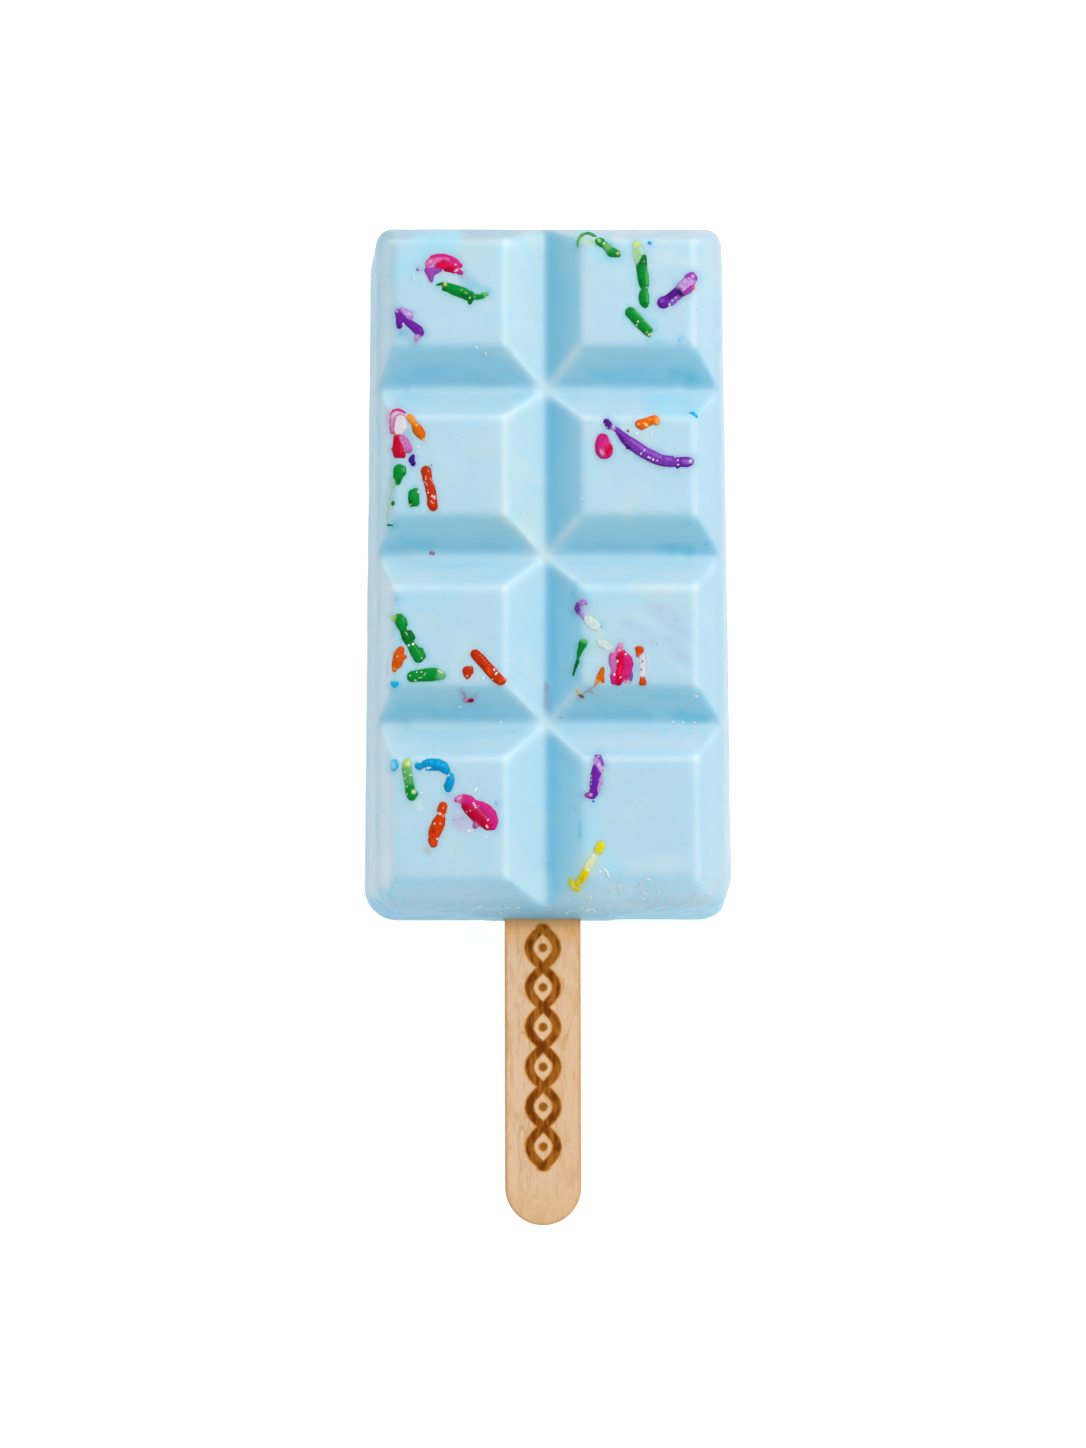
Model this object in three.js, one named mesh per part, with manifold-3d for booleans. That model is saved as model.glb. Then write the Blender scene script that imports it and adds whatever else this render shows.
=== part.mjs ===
// Sprinkle ice lollipop, lying on the flat back of its frozen bar with the moulded face up.
// The bar is cast as a tablet of eight bevelled squares, two across and four along, on a
// flat wooden stick with round ends. Millimetres, +Z up, and +Y runs from the stick to the
// bar's far end. The origin is under the middle of the whole lollipop.
import * as THREE from "three";
import { mergeVertices } from "three/addons/utils/BufferGeometryUtils.js";
import Module from "manifold-3d";

const wasm = await Module();
wasm.setup();

// Whole lollipop
const BAR_LENGTH = 93.5;
const STICK_SHOWING = 39.1;
const FAR_END = (BAR_LENGTH + STICK_SHOWING) / 2;
const NEAR_END = FAR_END - BAR_LENGTH;
const STICK_END = -FAR_END;

// Bar, from its back up
const BAR_THICKNESS = 24;
const BACK_WIDTH_FAR = 49.3;
const BACK_WIDTH_NEAR = 50.6;
const RIM_HEIGHT = 18.1;
const RIM_WIDTH = 45.2;
const WALL_SLOPE_RUN = 2.4;
const BACK_EDGE_ROUND = 0.8;
const RIM_ROUND = 1.5;
const FACE_EDGE_ROUND = 0.5;
const BACK_CORNER_FAR = 3.4;
const BACK_CORNER_NEAR = 4.6;
const RIM_CORNER_FAR = 2.4;
const RIM_CORNER_NEAR = 3.4;
const FACE_CORNER = 0.7;

// Squares and the grooves between them
const GROOVE_HEIGHT = 18.5;
const SQUARE_PITCH = 21.8;
const CROSS_GROOVES = 3;
const FIRST_GROOVE = FAR_END - 23.3;
const CROSS_HALF_WIDTH = 4.6;
const LONG_GROOVE = -0.65;
const LONG_HALF_WIDTH_LEFT = 5.3;
const LONG_HALF_WIDTH_RIGHT = 4.4;
const FACE_LEFT = -20.1;
const FACE_RIGHT = 18.6;
const FACE_FAR = FAR_END - 4.85;
const FACE_NEAR = NEAR_END + 6.6;
const GROOVE_FLOOR_ROUND = 0.35;

// Stick
const STICK_LENGTH = 113;
const STICK_WIDTH = 10;
const STICK_THICKNESS = 2;
const STICK_CENTRE = -1;
const STICK_HEIGHT = 12;
const STICK_EDGE_ROUND = 0.3;
const STICK_GAP = 0.3;

const CORNER_STEPS = 8;
const ROUND_STEPS = 4;
const CUT_MARGIN = 4;

const iceMaterial = new THREE.MeshStandardMaterial({ color: 0xbfe1f0, roughness: 0.35 });
const woodMaterial = new THREE.MeshStandardMaterial({ color: 0xe6c39b, roughness: 0.75 });

// A closed geometry as a manifold-3d solid.
function solidOf(geometry) {
  const bare = geometry.clone();
  bare.deleteAttribute("normal");
  bare.deleteAttribute("uv");
  const merged = mergeVertices(bare, 1e-4);
  return new wasm.Manifold(
    new wasm.Mesh({
      numProp: 3,
      vertProperties: merged.attributes.position.array,
      triVerts: new Uint32Array(merged.index.array),
    }),
  );
}

// A manifold-3d solid as a named, coloured mesh.
function meshOf(solid, name, material) {
  const { vertProperties, triVerts, numProp } = solid.getMesh();
  const geometry = new THREE.BufferGeometry();
  const positions = new Float32Array((vertProperties.length / numProp) * 3);
  for (let i = 0; i < positions.length / 3; i++)
    positions.set(vertProperties.subarray(i * numProp, i * numProp + 3), i * 3);
  geometry.setAttribute("position", new THREE.BufferAttribute(positions, 3));
  geometry.setIndex(new THREE.BufferAttribute(new Uint32Array(triVerts), 1));
  geometry.computeVertexNormals();
  const mesh = new THREE.Mesh(geometry, material);
  mesh.name = name;
  return mesh;
}

// The three outlines that the bar's side passes through: its back, the rim where the
// sloping wall ends, and the outer edges of the squares' flat tops.
const backPlan = {
  farLeft: -BACK_WIDTH_FAR / 2,
  farRight: BACK_WIDTH_FAR / 2,
  nearLeft: -BACK_WIDTH_NEAR / 2,
  nearRight: BACK_WIDTH_NEAR / 2,
  far: FAR_END,
  near: NEAR_END,
  farCorner: BACK_CORNER_FAR,
  nearCorner: BACK_CORNER_NEAR,
};
const rimPlan = {
  farLeft: -RIM_WIDTH / 2,
  farRight: RIM_WIDTH / 2,
  nearLeft: -RIM_WIDTH / 2,
  nearRight: RIM_WIDTH / 2,
  far: FAR_END - WALL_SLOPE_RUN,
  near: NEAR_END + WALL_SLOPE_RUN,
  farCorner: RIM_CORNER_FAR,
  nearCorner: RIM_CORNER_NEAR,
};
const facePlan = {
  farLeft: FACE_LEFT,
  farRight: FACE_RIGHT,
  nearLeft: FACE_LEFT,
  nearRight: FACE_RIGHT,
  far: FACE_FAR,
  near: FACE_NEAR,
  farCorner: FACE_CORNER,
  nearCorner: FACE_CORNER,
};

// A plan part of the way from one plan to another.
function mixPlans(from, to, share) {
  const mixed = {};
  for (const side of Object.keys(from))
    mixed[side] = THREE.MathUtils.lerp(from[side], to[side], share);
  return mixed;
}

// The points of a plan, anticlockwise from above, with round corners.
function planPoints(plan) {
  const corners = [
    { x: plan.farRight, y: plan.far, inX: -1, inY: -1, round: plan.farCorner, start: 0 },
    { x: plan.farLeft, y: plan.far, inX: 1, inY: -1, round: plan.farCorner, start: 1 },
    { x: plan.nearLeft, y: plan.near, inX: 1, inY: 1, round: plan.nearCorner, start: 2 },
    { x: plan.nearRight, y: plan.near, inX: -1, inY: 1, round: plan.nearCorner, start: 3 },
  ];
  const points = [];
  for (const { x, y, inX, inY, round, start } of corners)
    for (let step = 0; step <= CORNER_STEPS; step++) {
      const angle = ((start + step / CORNER_STEPS) * Math.PI) / 2;
      points.push([
        x + round * (inX + Math.cos(angle)),
        y + round * (inY + Math.sin(angle)),
      ]);
    }
  return points;
}

// The side's section as a curve of share and height: share 0 is the back outline, 1 the
// rim and 2 the squares' outer edges, with each edge rounded.
function sideSection() {
  const wallShare = 1 / WALL_SLOPE_RUN;
  const bevelRise = BAR_THICKNESS - RIM_HEIGHT;
  const wallPart = RIM_ROUND / RIM_HEIGHT;
  const bevelPart = RIM_ROUND / bevelRise;
  const facePart = FACE_EDGE_ROUND / bevelRise;
  const path = new THREE.Path();
  path.moveTo(BACK_EDGE_ROUND * wallShare, 0);
  path.quadraticCurveTo(0, 0, 0, BACK_EDGE_ROUND);
  path.lineTo(1 - wallPart, RIM_HEIGHT - RIM_ROUND);
  path.quadraticCurveTo(1, RIM_HEIGHT, 1 + bevelPart, RIM_HEIGHT + RIM_ROUND);
  path.lineTo(2 - facePart, BAR_THICKNESS - FACE_EDGE_ROUND);
  path.quadraticCurveTo(2, BAR_THICKNESS, 2 + facePart, BAR_THICKNESS);
  return path.getPoints(ROUND_STEPS);
}

// The bar before its grooves are cut: outlines stacked along the side's section.
function barGeometry() {
  const rings = sideSection().map(({ x: share, y: height }) => {
    const plan =
      share < 1 ? mixPlans(backPlan, rimPlan, share) : mixPlans(rimPlan, facePlan, share - 1);
    return planPoints(plan).map(([x, y]) => [x, y, height]);
  });
  const count = rings[0].length;
  const positions = rings.flat(2);
  const index = [];
  for (let ring = 0; ring + 1 < rings.length; ring++)
    for (let i = 0; i < count; i++) {
      const low = ring * count + i;
      const lowNext = ring * count + ((i + 1) % count);
      index.push(low, lowNext, lowNext + count, low, lowNext + count, low + count);
    }
  const top = (rings.length - 1) * count;
  for (let i = 1; i + 1 < count; i++) {
    index.push(0, i + 1, i);
    index.push(top, top + i, top + i + 1);
  }
  const geometry = new THREE.BufferGeometry();
  geometry.setAttribute("position", new THREE.Float32BufferAttribute(positions, 3));
  geometry.setIndex(index);
  return geometry;
}

// A straight V-shaped groove cutter along +Z, its section drawn with the floor at the
// origin: sloping flanks, a narrow round floor, and shoulders that round the squares' edges.
function grooveGeometry(halfLeft, halfRight, length) {
  const depth = BAR_THICKNESS - GROOVE_HEIGHT;
  const floorPart = GROOVE_FLOOR_ROUND / depth;
  const edgePart = FACE_EDGE_ROUND / depth;
  const section = new THREE.Shape();
  const flank = (half, share) => half * share;
  section.moveTo(flank(-halfLeft, floorPart), depth * floorPart);
  section.quadraticCurveTo(0, 0, flank(halfRight, floorPart), depth * floorPart);
  section.lineTo(flank(halfRight, 1 - edgePart), depth * (1 - edgePart));
  section.quadraticCurveTo(halfRight, depth, flank(halfRight, 1 + edgePart), depth);
  section.lineTo(flank(halfRight, 1 + edgePart), depth + CUT_MARGIN);
  section.lineTo(flank(-halfLeft, 1 + edgePart), depth + CUT_MARGIN);
  section.lineTo(flank(-halfLeft, 1 + edgePart), depth);
  section.quadraticCurveTo(-halfLeft, depth, flank(-halfLeft, 1 - edgePart), depth * (1 - edgePart));
  section.closePath();
  return new THREE.ExtrudeGeometry(section, {
    depth: length,
    bevelEnabled: false,
    curveSegments: ROUND_STEPS,
  });
}

// The groove along the bar, between the two columns of squares.
function longGroove() {
  const length = BAR_LENGTH + 2 * CUT_MARGIN;
  const geometry = grooveGeometry(LONG_HALF_WIDTH_LEFT, LONG_HALF_WIDTH_RIGHT, length);
  geometry.rotateX(Math.PI / 2);
  geometry.translate(LONG_GROOVE, FAR_END + CUT_MARGIN, GROOVE_HEIGHT);
  return geometry;
}

// One groove across the bar, between two rows of squares.
function crossGroove(y) {
  const length = BACK_WIDTH_NEAR + 2 * CUT_MARGIN;
  const geometry = grooveGeometry(CROSS_HALF_WIDTH, CROSS_HALF_WIDTH, length);
  geometry.rotateX(Math.PI / 2);
  geometry.rotateZ(Math.PI / 2);
  geometry.translate(-length / 2, y, GROOVE_HEIGHT);
  return geometry;
}

// The flat stick, or with a gap the pocket that it sits in.
function stickGeometry(gap) {
  const radius = STICK_WIDTH / 2 + gap - STICK_EDGE_ROUND;
  const halfStraight = STICK_LENGTH / 2 - STICK_WIDTH / 2;
  const outline = new THREE.Shape();
  outline.moveTo(radius, -halfStraight);
  outline.lineTo(radius, halfStraight);
  outline.absarc(0, halfStraight, radius, 0, Math.PI, false);
  outline.lineTo(-radius, -halfStraight);
  outline.absarc(0, -halfStraight, radius, Math.PI, 2 * Math.PI, false);
  const flat = STICK_THICKNESS + 2 * gap - 2 * STICK_EDGE_ROUND;
  const geometry = new THREE.ExtrudeGeometry(outline, {
    depth: flat,
    bevelThickness: STICK_EDGE_ROUND,
    bevelSize: STICK_EDGE_ROUND,
    bevelSegments: 2,
    curveSegments: 2 * CORNER_STEPS,
  });
  geometry.translate(STICK_CENTRE, STICK_END + STICK_LENGTH / 2, STICK_HEIGHT - flat / 2);
  return geometry;
}

function iceBar() {
  let bar = solidOf(barGeometry());
  bar = bar.subtract(solidOf(longGroove()));
  for (let i = 0; i < CROSS_GROOVES; i++)
    bar = bar.subtract(solidOf(crossGroove(FIRST_GROOVE - i * SQUARE_PITCH)));
  bar = bar.subtract(solidOf(stickGeometry(STICK_GAP)));
  return meshOf(bar, "ice_bar", iceMaterial);
}

function stick() {
  return meshOf(solidOf(stickGeometry(0)), "stick", woodMaterial);
}

const group = new THREE.Group();
group.add(iceBar());
group.add(stick());

export default group;
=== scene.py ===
# %% [markdown]
# # A sprinkle ice lollipop
# The object is a frozen bar on a flat wooden stick. The bar is cast in a mould, so its face
# is a tablet of eight bevelled squares, and coloured sugar sprinkles are frozen into that
# face. The measured solids of the bar and the stick are loaded first, because every piece
# below takes its size and its place from them.

# %% Load the measured frame
import math
import random

import bmesh
import bpy
from mathutils import Matrix, Vector
from mathutils import noise as ripple


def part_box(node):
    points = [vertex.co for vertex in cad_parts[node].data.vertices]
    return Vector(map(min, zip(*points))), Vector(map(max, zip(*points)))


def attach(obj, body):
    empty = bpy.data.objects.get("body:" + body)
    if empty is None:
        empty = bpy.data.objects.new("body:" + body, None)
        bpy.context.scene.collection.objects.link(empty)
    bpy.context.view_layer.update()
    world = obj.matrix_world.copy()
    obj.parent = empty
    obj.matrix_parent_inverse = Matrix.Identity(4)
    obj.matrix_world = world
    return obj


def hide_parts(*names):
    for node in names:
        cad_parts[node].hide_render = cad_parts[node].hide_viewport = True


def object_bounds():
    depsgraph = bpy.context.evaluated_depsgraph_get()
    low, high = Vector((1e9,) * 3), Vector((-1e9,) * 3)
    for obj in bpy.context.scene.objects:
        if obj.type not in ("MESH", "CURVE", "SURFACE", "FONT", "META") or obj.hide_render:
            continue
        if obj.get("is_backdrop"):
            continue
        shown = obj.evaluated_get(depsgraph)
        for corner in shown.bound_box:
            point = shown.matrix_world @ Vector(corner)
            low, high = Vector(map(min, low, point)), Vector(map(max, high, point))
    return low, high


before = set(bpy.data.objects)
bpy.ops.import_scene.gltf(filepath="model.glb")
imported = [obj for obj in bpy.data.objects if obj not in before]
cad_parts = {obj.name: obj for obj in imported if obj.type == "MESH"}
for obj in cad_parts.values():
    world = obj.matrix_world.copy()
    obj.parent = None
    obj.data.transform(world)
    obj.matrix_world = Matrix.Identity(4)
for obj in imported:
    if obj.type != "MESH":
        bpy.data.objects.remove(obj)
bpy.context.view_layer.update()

MM = 0.001
bar_low, bar_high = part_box("ice_bar")
stick_low, stick_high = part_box("stick")
print("bar, mm:", [round(side / MM, 1) for side in bar_high - bar_low])
print("stick, mm:", [round(side / MM, 1) for side in stick_high - stick_low])

# %% [markdown]
# ## Working by hand, in code
# An operator acts on whatever is selected, so each step starts by clearing the selection.
# These helpers select a piece, open it in edit mode, and pick vertices, edges or faces by
# where they are or which way they face, as a modeller picks them with the mouse.

# %% Selecting and picking
def only(piece):
    """Leaves nothing selected but this piece, in object mode."""
    if bpy.context.object and bpy.context.object.mode != "OBJECT":
        bpy.ops.object.mode_set(mode="OBJECT")
    bpy.ops.object.select_all(action="DESELECT")
    piece.select_set(True)
    bpy.context.view_layer.objects.active = piece


def edit(piece):
    only(piece)
    bpy.ops.object.mode_set(mode="EDIT")


def finish_edit():
    bpy.ops.object.mode_set(mode="OBJECT")


def faces_outwards():
    bpy.ops.mesh.select_all(action="SELECT")
    bpy.ops.mesh.normals_make_consistent(inside=False)


def pick(piece, test, kind="VERT"):
    """Selects each vertex, edge or face of the piece in edit mode that passes the test."""
    bpy.ops.mesh.select_mode(type=kind)
    bpy.ops.mesh.select_all(action="DESELECT")
    mesh = bmesh.from_edit_mesh(piece.data)
    parts = {"VERT": mesh.verts, "EDGE": mesh.edges, "FACE": mesh.faces}[kind]
    for part in parts:
        if test(part):
            part.select_set(True)
    bmesh.update_edit_mesh(piece.data)


def fresh(name):
    """Names the primitive that was just added."""
    piece = bpy.context.object
    piece.name = name
    piece.data.name = name
    only(piece)
    bpy.ops.object.transform_apply(location=True, rotation=True, scale=True)
    return piece


def apply_modifier(piece, kind, **settings):
    only(piece)
    modifier = piece.modifiers.new(kind.lower(), kind)
    for setting, value in settings.items():
        setattr(modifier, setting, value)
    bpy.ops.object.modifier_apply(modifier=modifier.name)


def cut(piece, cutter):
    """Cuts the cutter's shape out of the piece, and throws the cutter away."""
    apply_modifier(piece, "BOOLEAN", object=cutter, operation="DIFFERENCE", solver="EXACT")
    bpy.data.objects.remove(cutter)


def join(pieces, name):
    only(pieces[0])
    for piece in pieces:
        piece.select_set(True)
    bpy.ops.object.join()
    joined = bpy.context.object
    joined.name = name
    return joined


# %% [markdown]
# ## The camera
# The photograph was taken from in front of the upright lollipop, about 26 cm away. The model
# lies on its back, so the camera looks down on it instead. It stands a little towards the
# stick and to the left of the bar's middle, which is why the near end wall just shows.

# %% Place the camera
IMAGE_WIDTH = 1086
IMAGE_HEIGHT = 1448
SENSOR = 36.0
LENS = 49.9
CAMERA_DISTANCE = 260 * MM
LEAN_TO_STICK = math.radians(2.58)
LEAN_TO_LEFT = math.radians(0.92)
ROLL = math.radians(0.11)
GROOVE_HEIGHT = 18.5 * MM
AIM = Vector((-0.97 * MM, -0.86 * MM, GROOVE_HEIGHT))

camera_data = bpy.data.cameras.new("camera")
camera_data.lens = LENS
camera_data.sensor_width = SENSOR
camera_data.clip_start = 0.01
camera = bpy.data.objects.new("camera", camera_data)
bpy.context.scene.collection.objects.link(camera)
turn = (
    Matrix.Rotation(ROLL, 3, "Z")
    @ Matrix.Rotation(LEAN_TO_LEFT, 3, "Y")
    @ Matrix.Rotation(-LEAN_TO_STICK, 3, "X")
).transposed()
camera.matrix_world = Matrix.Translation(AIM + turn @ Vector((0, 0, CAMERA_DISTANCE))) @ turn.to_4x4()
bpy.context.scene.camera = camera
print("camera at, mm:", [round(place / MM, 1) for place in camera.matrix_world.translation])


def sight_line(column, row):
    """Where the camera stands, and the direction in which it sees that pixel of the photo."""
    focal = LENS / SENSOR * IMAGE_HEIGHT
    across = (column - IMAGE_WIDTH / 2) / focal
    up = (IMAGE_HEIGHT / 2 - row) / focal
    return camera.matrix_world.translation, (turn @ Vector((across, up, -1))).normalized()


# %% [markdown]
# ## The bar's sizes
# The moulded face is set out like a chocolate tablet. The wall slopes in from the back to a
# rim, a bevel climbs from the rim to each outer square, and V-shaped grooves part the
# squares. The squares aren't quite centred, as in the photograph.

# %% Set out the bar
back = bar_low.z
top = bar_high.z
far_end = bar_high.y
near_end = bar_low.y
smoothing_loss = 0.3 * MM
back_width_near = bar_high.x - bar_low.x + smoothing_loss
back_width_far = 49.3 * MM
rim_height = 18.1 * MM
rim_width = 45.2 * MM
wall_slope_run = 2.4 * MM
far_slope_run = 2.0 * MM
face_left = -20.1 * MM
face_right = 18.6 * MM
face_far = far_end - 5.05 * MM
face_near = near_end + 6.6 * MM
long_groove = -0.65 * MM
long_half_left = 5.05 * MM
long_half_right = 4.6 * MM
square_pitch = 21.8 * MM
first_groove = far_end - 23.65 * MM
cross_grooves = [first_groove - row * square_pitch for row in range(3)]
cross_half_near = 4.4 * MM
cross_half_far = 4.85 * MM
print("grooves across the bar at y, mm:", [round(y / MM, 1) for y in cross_grooves])

# %% [markdown]
# ## The bar's block
# A drafted block with round corners could be a cube with tapered sides, but the corners get
# sharper towards the face. So three flat outlines are made instead, one above the other,
# each a plane with its corners bevelled round, and the walls are bridged between them.

# %% Stack three outlines and bridge them
CORNER_SEGMENTS = 8
NEAR_CORNERS = 0.4
back_round_far = 3.4 * MM
back_round_near = 4.6 * MM
rim_round_far = 1.9 * MM
rim_round_near = 3.4 * MM
square_round = 0.7 * MM
back_edge_round = 0.8 * MM
rim_edge_round = 1.5 * MM


def outline(height, left, right, narrowing, far, near, far_round, near_round):
    """A flat outline with round corners; narrowing is its far width over its near width."""
    middle = Vector(((left + right) / 2, (far + near) / 2, height))
    bpy.ops.mesh.primitive_plane_add(size=1, location=middle)
    bpy.ops.transform.resize(value=(right - left, far - near, 1))
    plane = fresh("outline")
    edit(plane)
    pick(plane, lambda v: v.co.y > middle.y)
    bpy.ops.transform.resize(value=(narrowing, 1, 1), center_override=middle)
    bpy.ops.mesh.bevel(offset=far_round, segments=CORNER_SEGMENTS, affect="VERTICES")
    pick(plane, lambda v: v.co.y < middle.y - (far - near) * NEAR_CORNERS)
    bpy.ops.mesh.bevel(offset=near_round, segments=CORNER_SEGMENTS, affect="VERTICES")
    bpy.ops.mesh.select_all(action="SELECT")
    bpy.ops.mesh.delete(type="ONLY_FACE")
    finish_edit()
    return plane


levels = [back, rim_height, top]
bar = join(
    [
        outline(back, -back_width_near / 2, back_width_near / 2, back_width_far / back_width_near,
                far_end, near_end, back_round_far, back_round_near),
        outline(rim_height, -rim_width / 2, rim_width / 2, 1,
                far_end - far_slope_run, near_end + wall_slope_run, rim_round_far, rim_round_near),
        outline(top, face_left, face_right, 1, face_far, face_near, square_round, square_round),
    ],
    "ice",
)
edit(bar)
HAIR = 0.01 * MM
for low, high in zip(levels, levels[1:]):
    pick(bar, lambda e: all(abs(v.co.z - low) < HAIR or abs(v.co.z - high) < HAIR for v in e.verts)
         and abs(e.verts[0].co.z - e.verts[1].co.z) < HAIR, "EDGE")
    bpy.ops.mesh.bridge_edge_loops()
for cap in (back, top):
    pick(bar, lambda e: all(abs(v.co.z - cap) < HAIR for v in e.verts), "EDGE")
    bpy.ops.mesh.edge_face_add()
faces_outwards()
for height, edge_round in ((back, back_edge_round), (rim_height, rim_edge_round)):
    pick(bar, lambda e: all(abs(v.co.z - height) < HAIR for v in e.verts), "EDGE")
    bpy.ops.mesh.bevel(offset=edge_round, segments=4, affect="EDGES")
finish_edit()
print("block:", len(bar.data.polygons), "faces")

# %% [markdown]
# ## The grooves
# Each groove is a straight V. A cube whose lower face is squeezed to a line is the cutter,
# and where two cutters cross, the squares' corners come out mitred by themselves.

# %% Cut the grooves between the squares
MARGIN = 4 * MM
flare = (top + MARGIN - GROOVE_HEIGHT) / (top - GROOVE_HEIGHT)


def groove_cutter(line, half_low, half_high, along_bar):
    """A wedge whose edge lies at the groove's floor, half_low and half_high to its sides."""
    width = (half_low + half_high) * flare
    offset = (half_high - half_low) * flare / 2
    length = (far_end - near_end) + 2 * MARGIN
    centre_height = (GROOVE_HEIGHT + top + MARGIN) / 2
    if along_bar:
        middle = Vector((line + offset, (far_end + near_end) / 2, centre_height))
        size = (width, length, top + MARGIN - GROOVE_HEIGHT)
    else:
        middle = Vector((0, line + offset, centre_height))
        size = (length, width, top + MARGIN - GROOVE_HEIGHT)
    bpy.ops.mesh.primitive_cube_add(size=1, location=middle)
    bpy.ops.transform.resize(value=size)
    cutter = fresh("groove_cutter")
    edit(cutter)
    pick(cutter, lambda v: v.co.z < middle.z)
    if along_bar:
        bpy.ops.transform.resize(value=(0, 1, 1), center_override=(line, middle.y, GROOVE_HEIGHT))
    else:
        bpy.ops.transform.resize(value=(1, 0, 1), center_override=(0, line, GROOVE_HEIGHT))
    bpy.ops.mesh.select_all(action="SELECT")
    bpy.ops.mesh.remove_doubles(threshold=HAIR)
    faces_outwards()
    finish_edit()
    return cutter


cut(bar, groove_cutter(long_groove, long_half_left, long_half_right, True))
for line in cross_grooves:
    cut(bar, groove_cutter(line, cross_half_near, cross_half_far, False))
print("grooved bar:", len(bar.data.polygons), "faces")

# %% [markdown]
# ## A fine, even mesh
# Ice has soft edges and a surface that is never quite flat, and the dyes run into it, so the
# bar needs many small faces. A remesh would do it, but it makes steps on slopes. Slicing the
# bar with straight planes keeps every edge where it is and gives the same even grid.

# %% Slice the bar into a fine grid
import time
started = time.time()
FACE_GRID = 0.36 * MM
WALL_GRID = 0.8 * MM


def spread(marks, step):
    """Even places between each mark and the next, no further apart than the step."""
    places = []
    for start, end in zip(marks, marks[1:]):
        count = max(1, round((end - start) / step))
        places += [start + (end - start) * n / count for n in range(1, count)]
    return places


def slice_bar(places, direction):
    for place in places:
        bpy.ops.mesh.select_all(action="SELECT")
        bpy.ops.mesh.bisect(plane_co=direction * place, plane_no=direction)


edit(bar)
columns = [bar_low.x, face_left, long_groove - long_half_left, long_groove,
           long_groove + long_half_right, face_right, bar_high.x]
rows = [near_end, face_near]
for line in reversed(cross_grooves):
    rows += [line - cross_half_near, line, line + cross_half_far]
rows += [face_far, far_end]
slice_bar(spread(columns, FACE_GRID), Vector((1, 0, 0)))
slice_bar(spread(rows, FACE_GRID), Vector((0, 1, 0)))
slice_bar(spread([back, rim_height], WALL_GRID), Vector((0, 0, 1)))
finish_edit()
print("sliced bar:", len(bar.data.polygons), "faces in", round(time.time() - started, 1), "s")

# %% [markdown]
# ## Soft edges, slow waves and a crumbly end
# Ice out of a mould has melted edges, so the grid is smoothed a little. Nothing frozen is
# quite flat: a cloudy displacement gives slow waves. The end round the stick was filled
# last and crumbles, so it gets a finer one. It swells out a little round the stick, and its
# right corner has a small dent.

# %% Soften and weather the bar
ROUGH_END = 7 * MM
ROUGH_ABOVE = 3 * MM
EDGE_STRIP = 1.5 * MM
MOULDED_DEPTH = 4 * MM
WAVE_SIZE = 7 * MM
WAVE_HEIGHT = 0.2 * MM
CRUMB_SIZE = 1.1 * MM
CRUMB_HEIGHT = 0.22 * MM
DENT_STRIP = 1.5 * MM
DENT_FROM_END = 3.4 * MM
DENT_HALF = 0.5 * MM
DENT_DEPTH = 0.5 * MM
DENT_REACH = 2.6 * MM
SWELL_STRIP = 2.5 * MM
SWELL_HALF_WIDTH = 7 * MM
SWELL_MIDDLE = 12 * MM
SWELL_HALF_HEIGHT = 2 * MM
SWELL_DEPTH = 0.85 * MM
SWELL_REACH = 7 * MM
FLAT = -0.9


def clouds(name, size):
    texture = bpy.data.textures.new(name, "CLOUDS")
    texture.noise_scale = size
    return texture


def weight(piece, name, test):
    """Makes a vertex group of the vertices that pass the test."""
    edit(piece)
    pick(piece, test)
    bpy.ops.object.vertex_group_add()
    piece.vertex_groups.active.name = name
    bpy.ops.object.vertex_group_assign()
    finish_edit()


def push(step, reach):
    """Moves what is picked, and draws what lies within reach softly after it."""
    bpy.ops.transform.translate(value=step, use_proportional_edit=True,
                                proportional_edit_falloff="SMOOTH", proportional_size=reach)


apply_modifier(bar, "SMOOTH", factor=0.5, iterations=3)
weight(bar, "moulded_face", lambda v: v.co.z > rim_height - MOULDED_DEPTH)
apply_modifier(bar, "SMOOTH", factor=0.5, iterations=9, vertex_group="moulded_face")
weight(bar, "valleys", lambda v: (face_left + EDGE_STRIP < v.co.x < face_right - EDGE_STRIP
                                  and face_near + EDGE_STRIP < v.co.y < face_far - EDGE_STRIP
                                  and rim_height - EDGE_STRIP < v.co.z < rim_height + EDGE_STRIP))
apply_modifier(bar, "SMOOTH", factor=0.5, iterations=12, vertex_group="valleys")
apply_modifier(bar, "DISPLACE", texture=clouds("slow_waves", WAVE_SIZE), strength=WAVE_HEIGHT)
weight(bar, "stick_end", lambda v: v.co.y < near_end + ROUGH_END and v.co.z > ROUGH_ABOVE)
apply_modifier(bar, "DISPLACE", texture=clouds("crumbs", CRUMB_SIZE), strength=CRUMB_HEIGHT,
               vertex_group="stick_end")
edit(bar)
pick(bar, lambda v: (v.co.x > bar_high.x - DENT_STRIP
                     and abs(v.co.y - near_end - DENT_FROM_END) < DENT_HALF))
push((-DENT_DEPTH, 0, 0), DENT_REACH)
pick(bar, lambda v: (v.co.y < near_end + SWELL_STRIP and abs(v.co.x) < SWELL_HALF_WIDTH
                     and abs(v.co.z - SWELL_MIDDLE) < SWELL_HALF_HEIGHT))
push((0, -SWELL_DEPTH, 0), SWELL_REACH)
pick(bar, lambda v: v.normal.z < FLAT)
bpy.ops.transform.resize(value=(1, 1, 0), center_override=(0, 0, back))
finish_edit()
bpy.ops.object.shade_smooth()

# %% [markdown]
# ## The stick
# The stick is stamped from birch veneer: a strip with round ends, its edges tumbled soft. A
# plane with its corners bevelled all the way round is extruded to the veneer's thickness.

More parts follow.
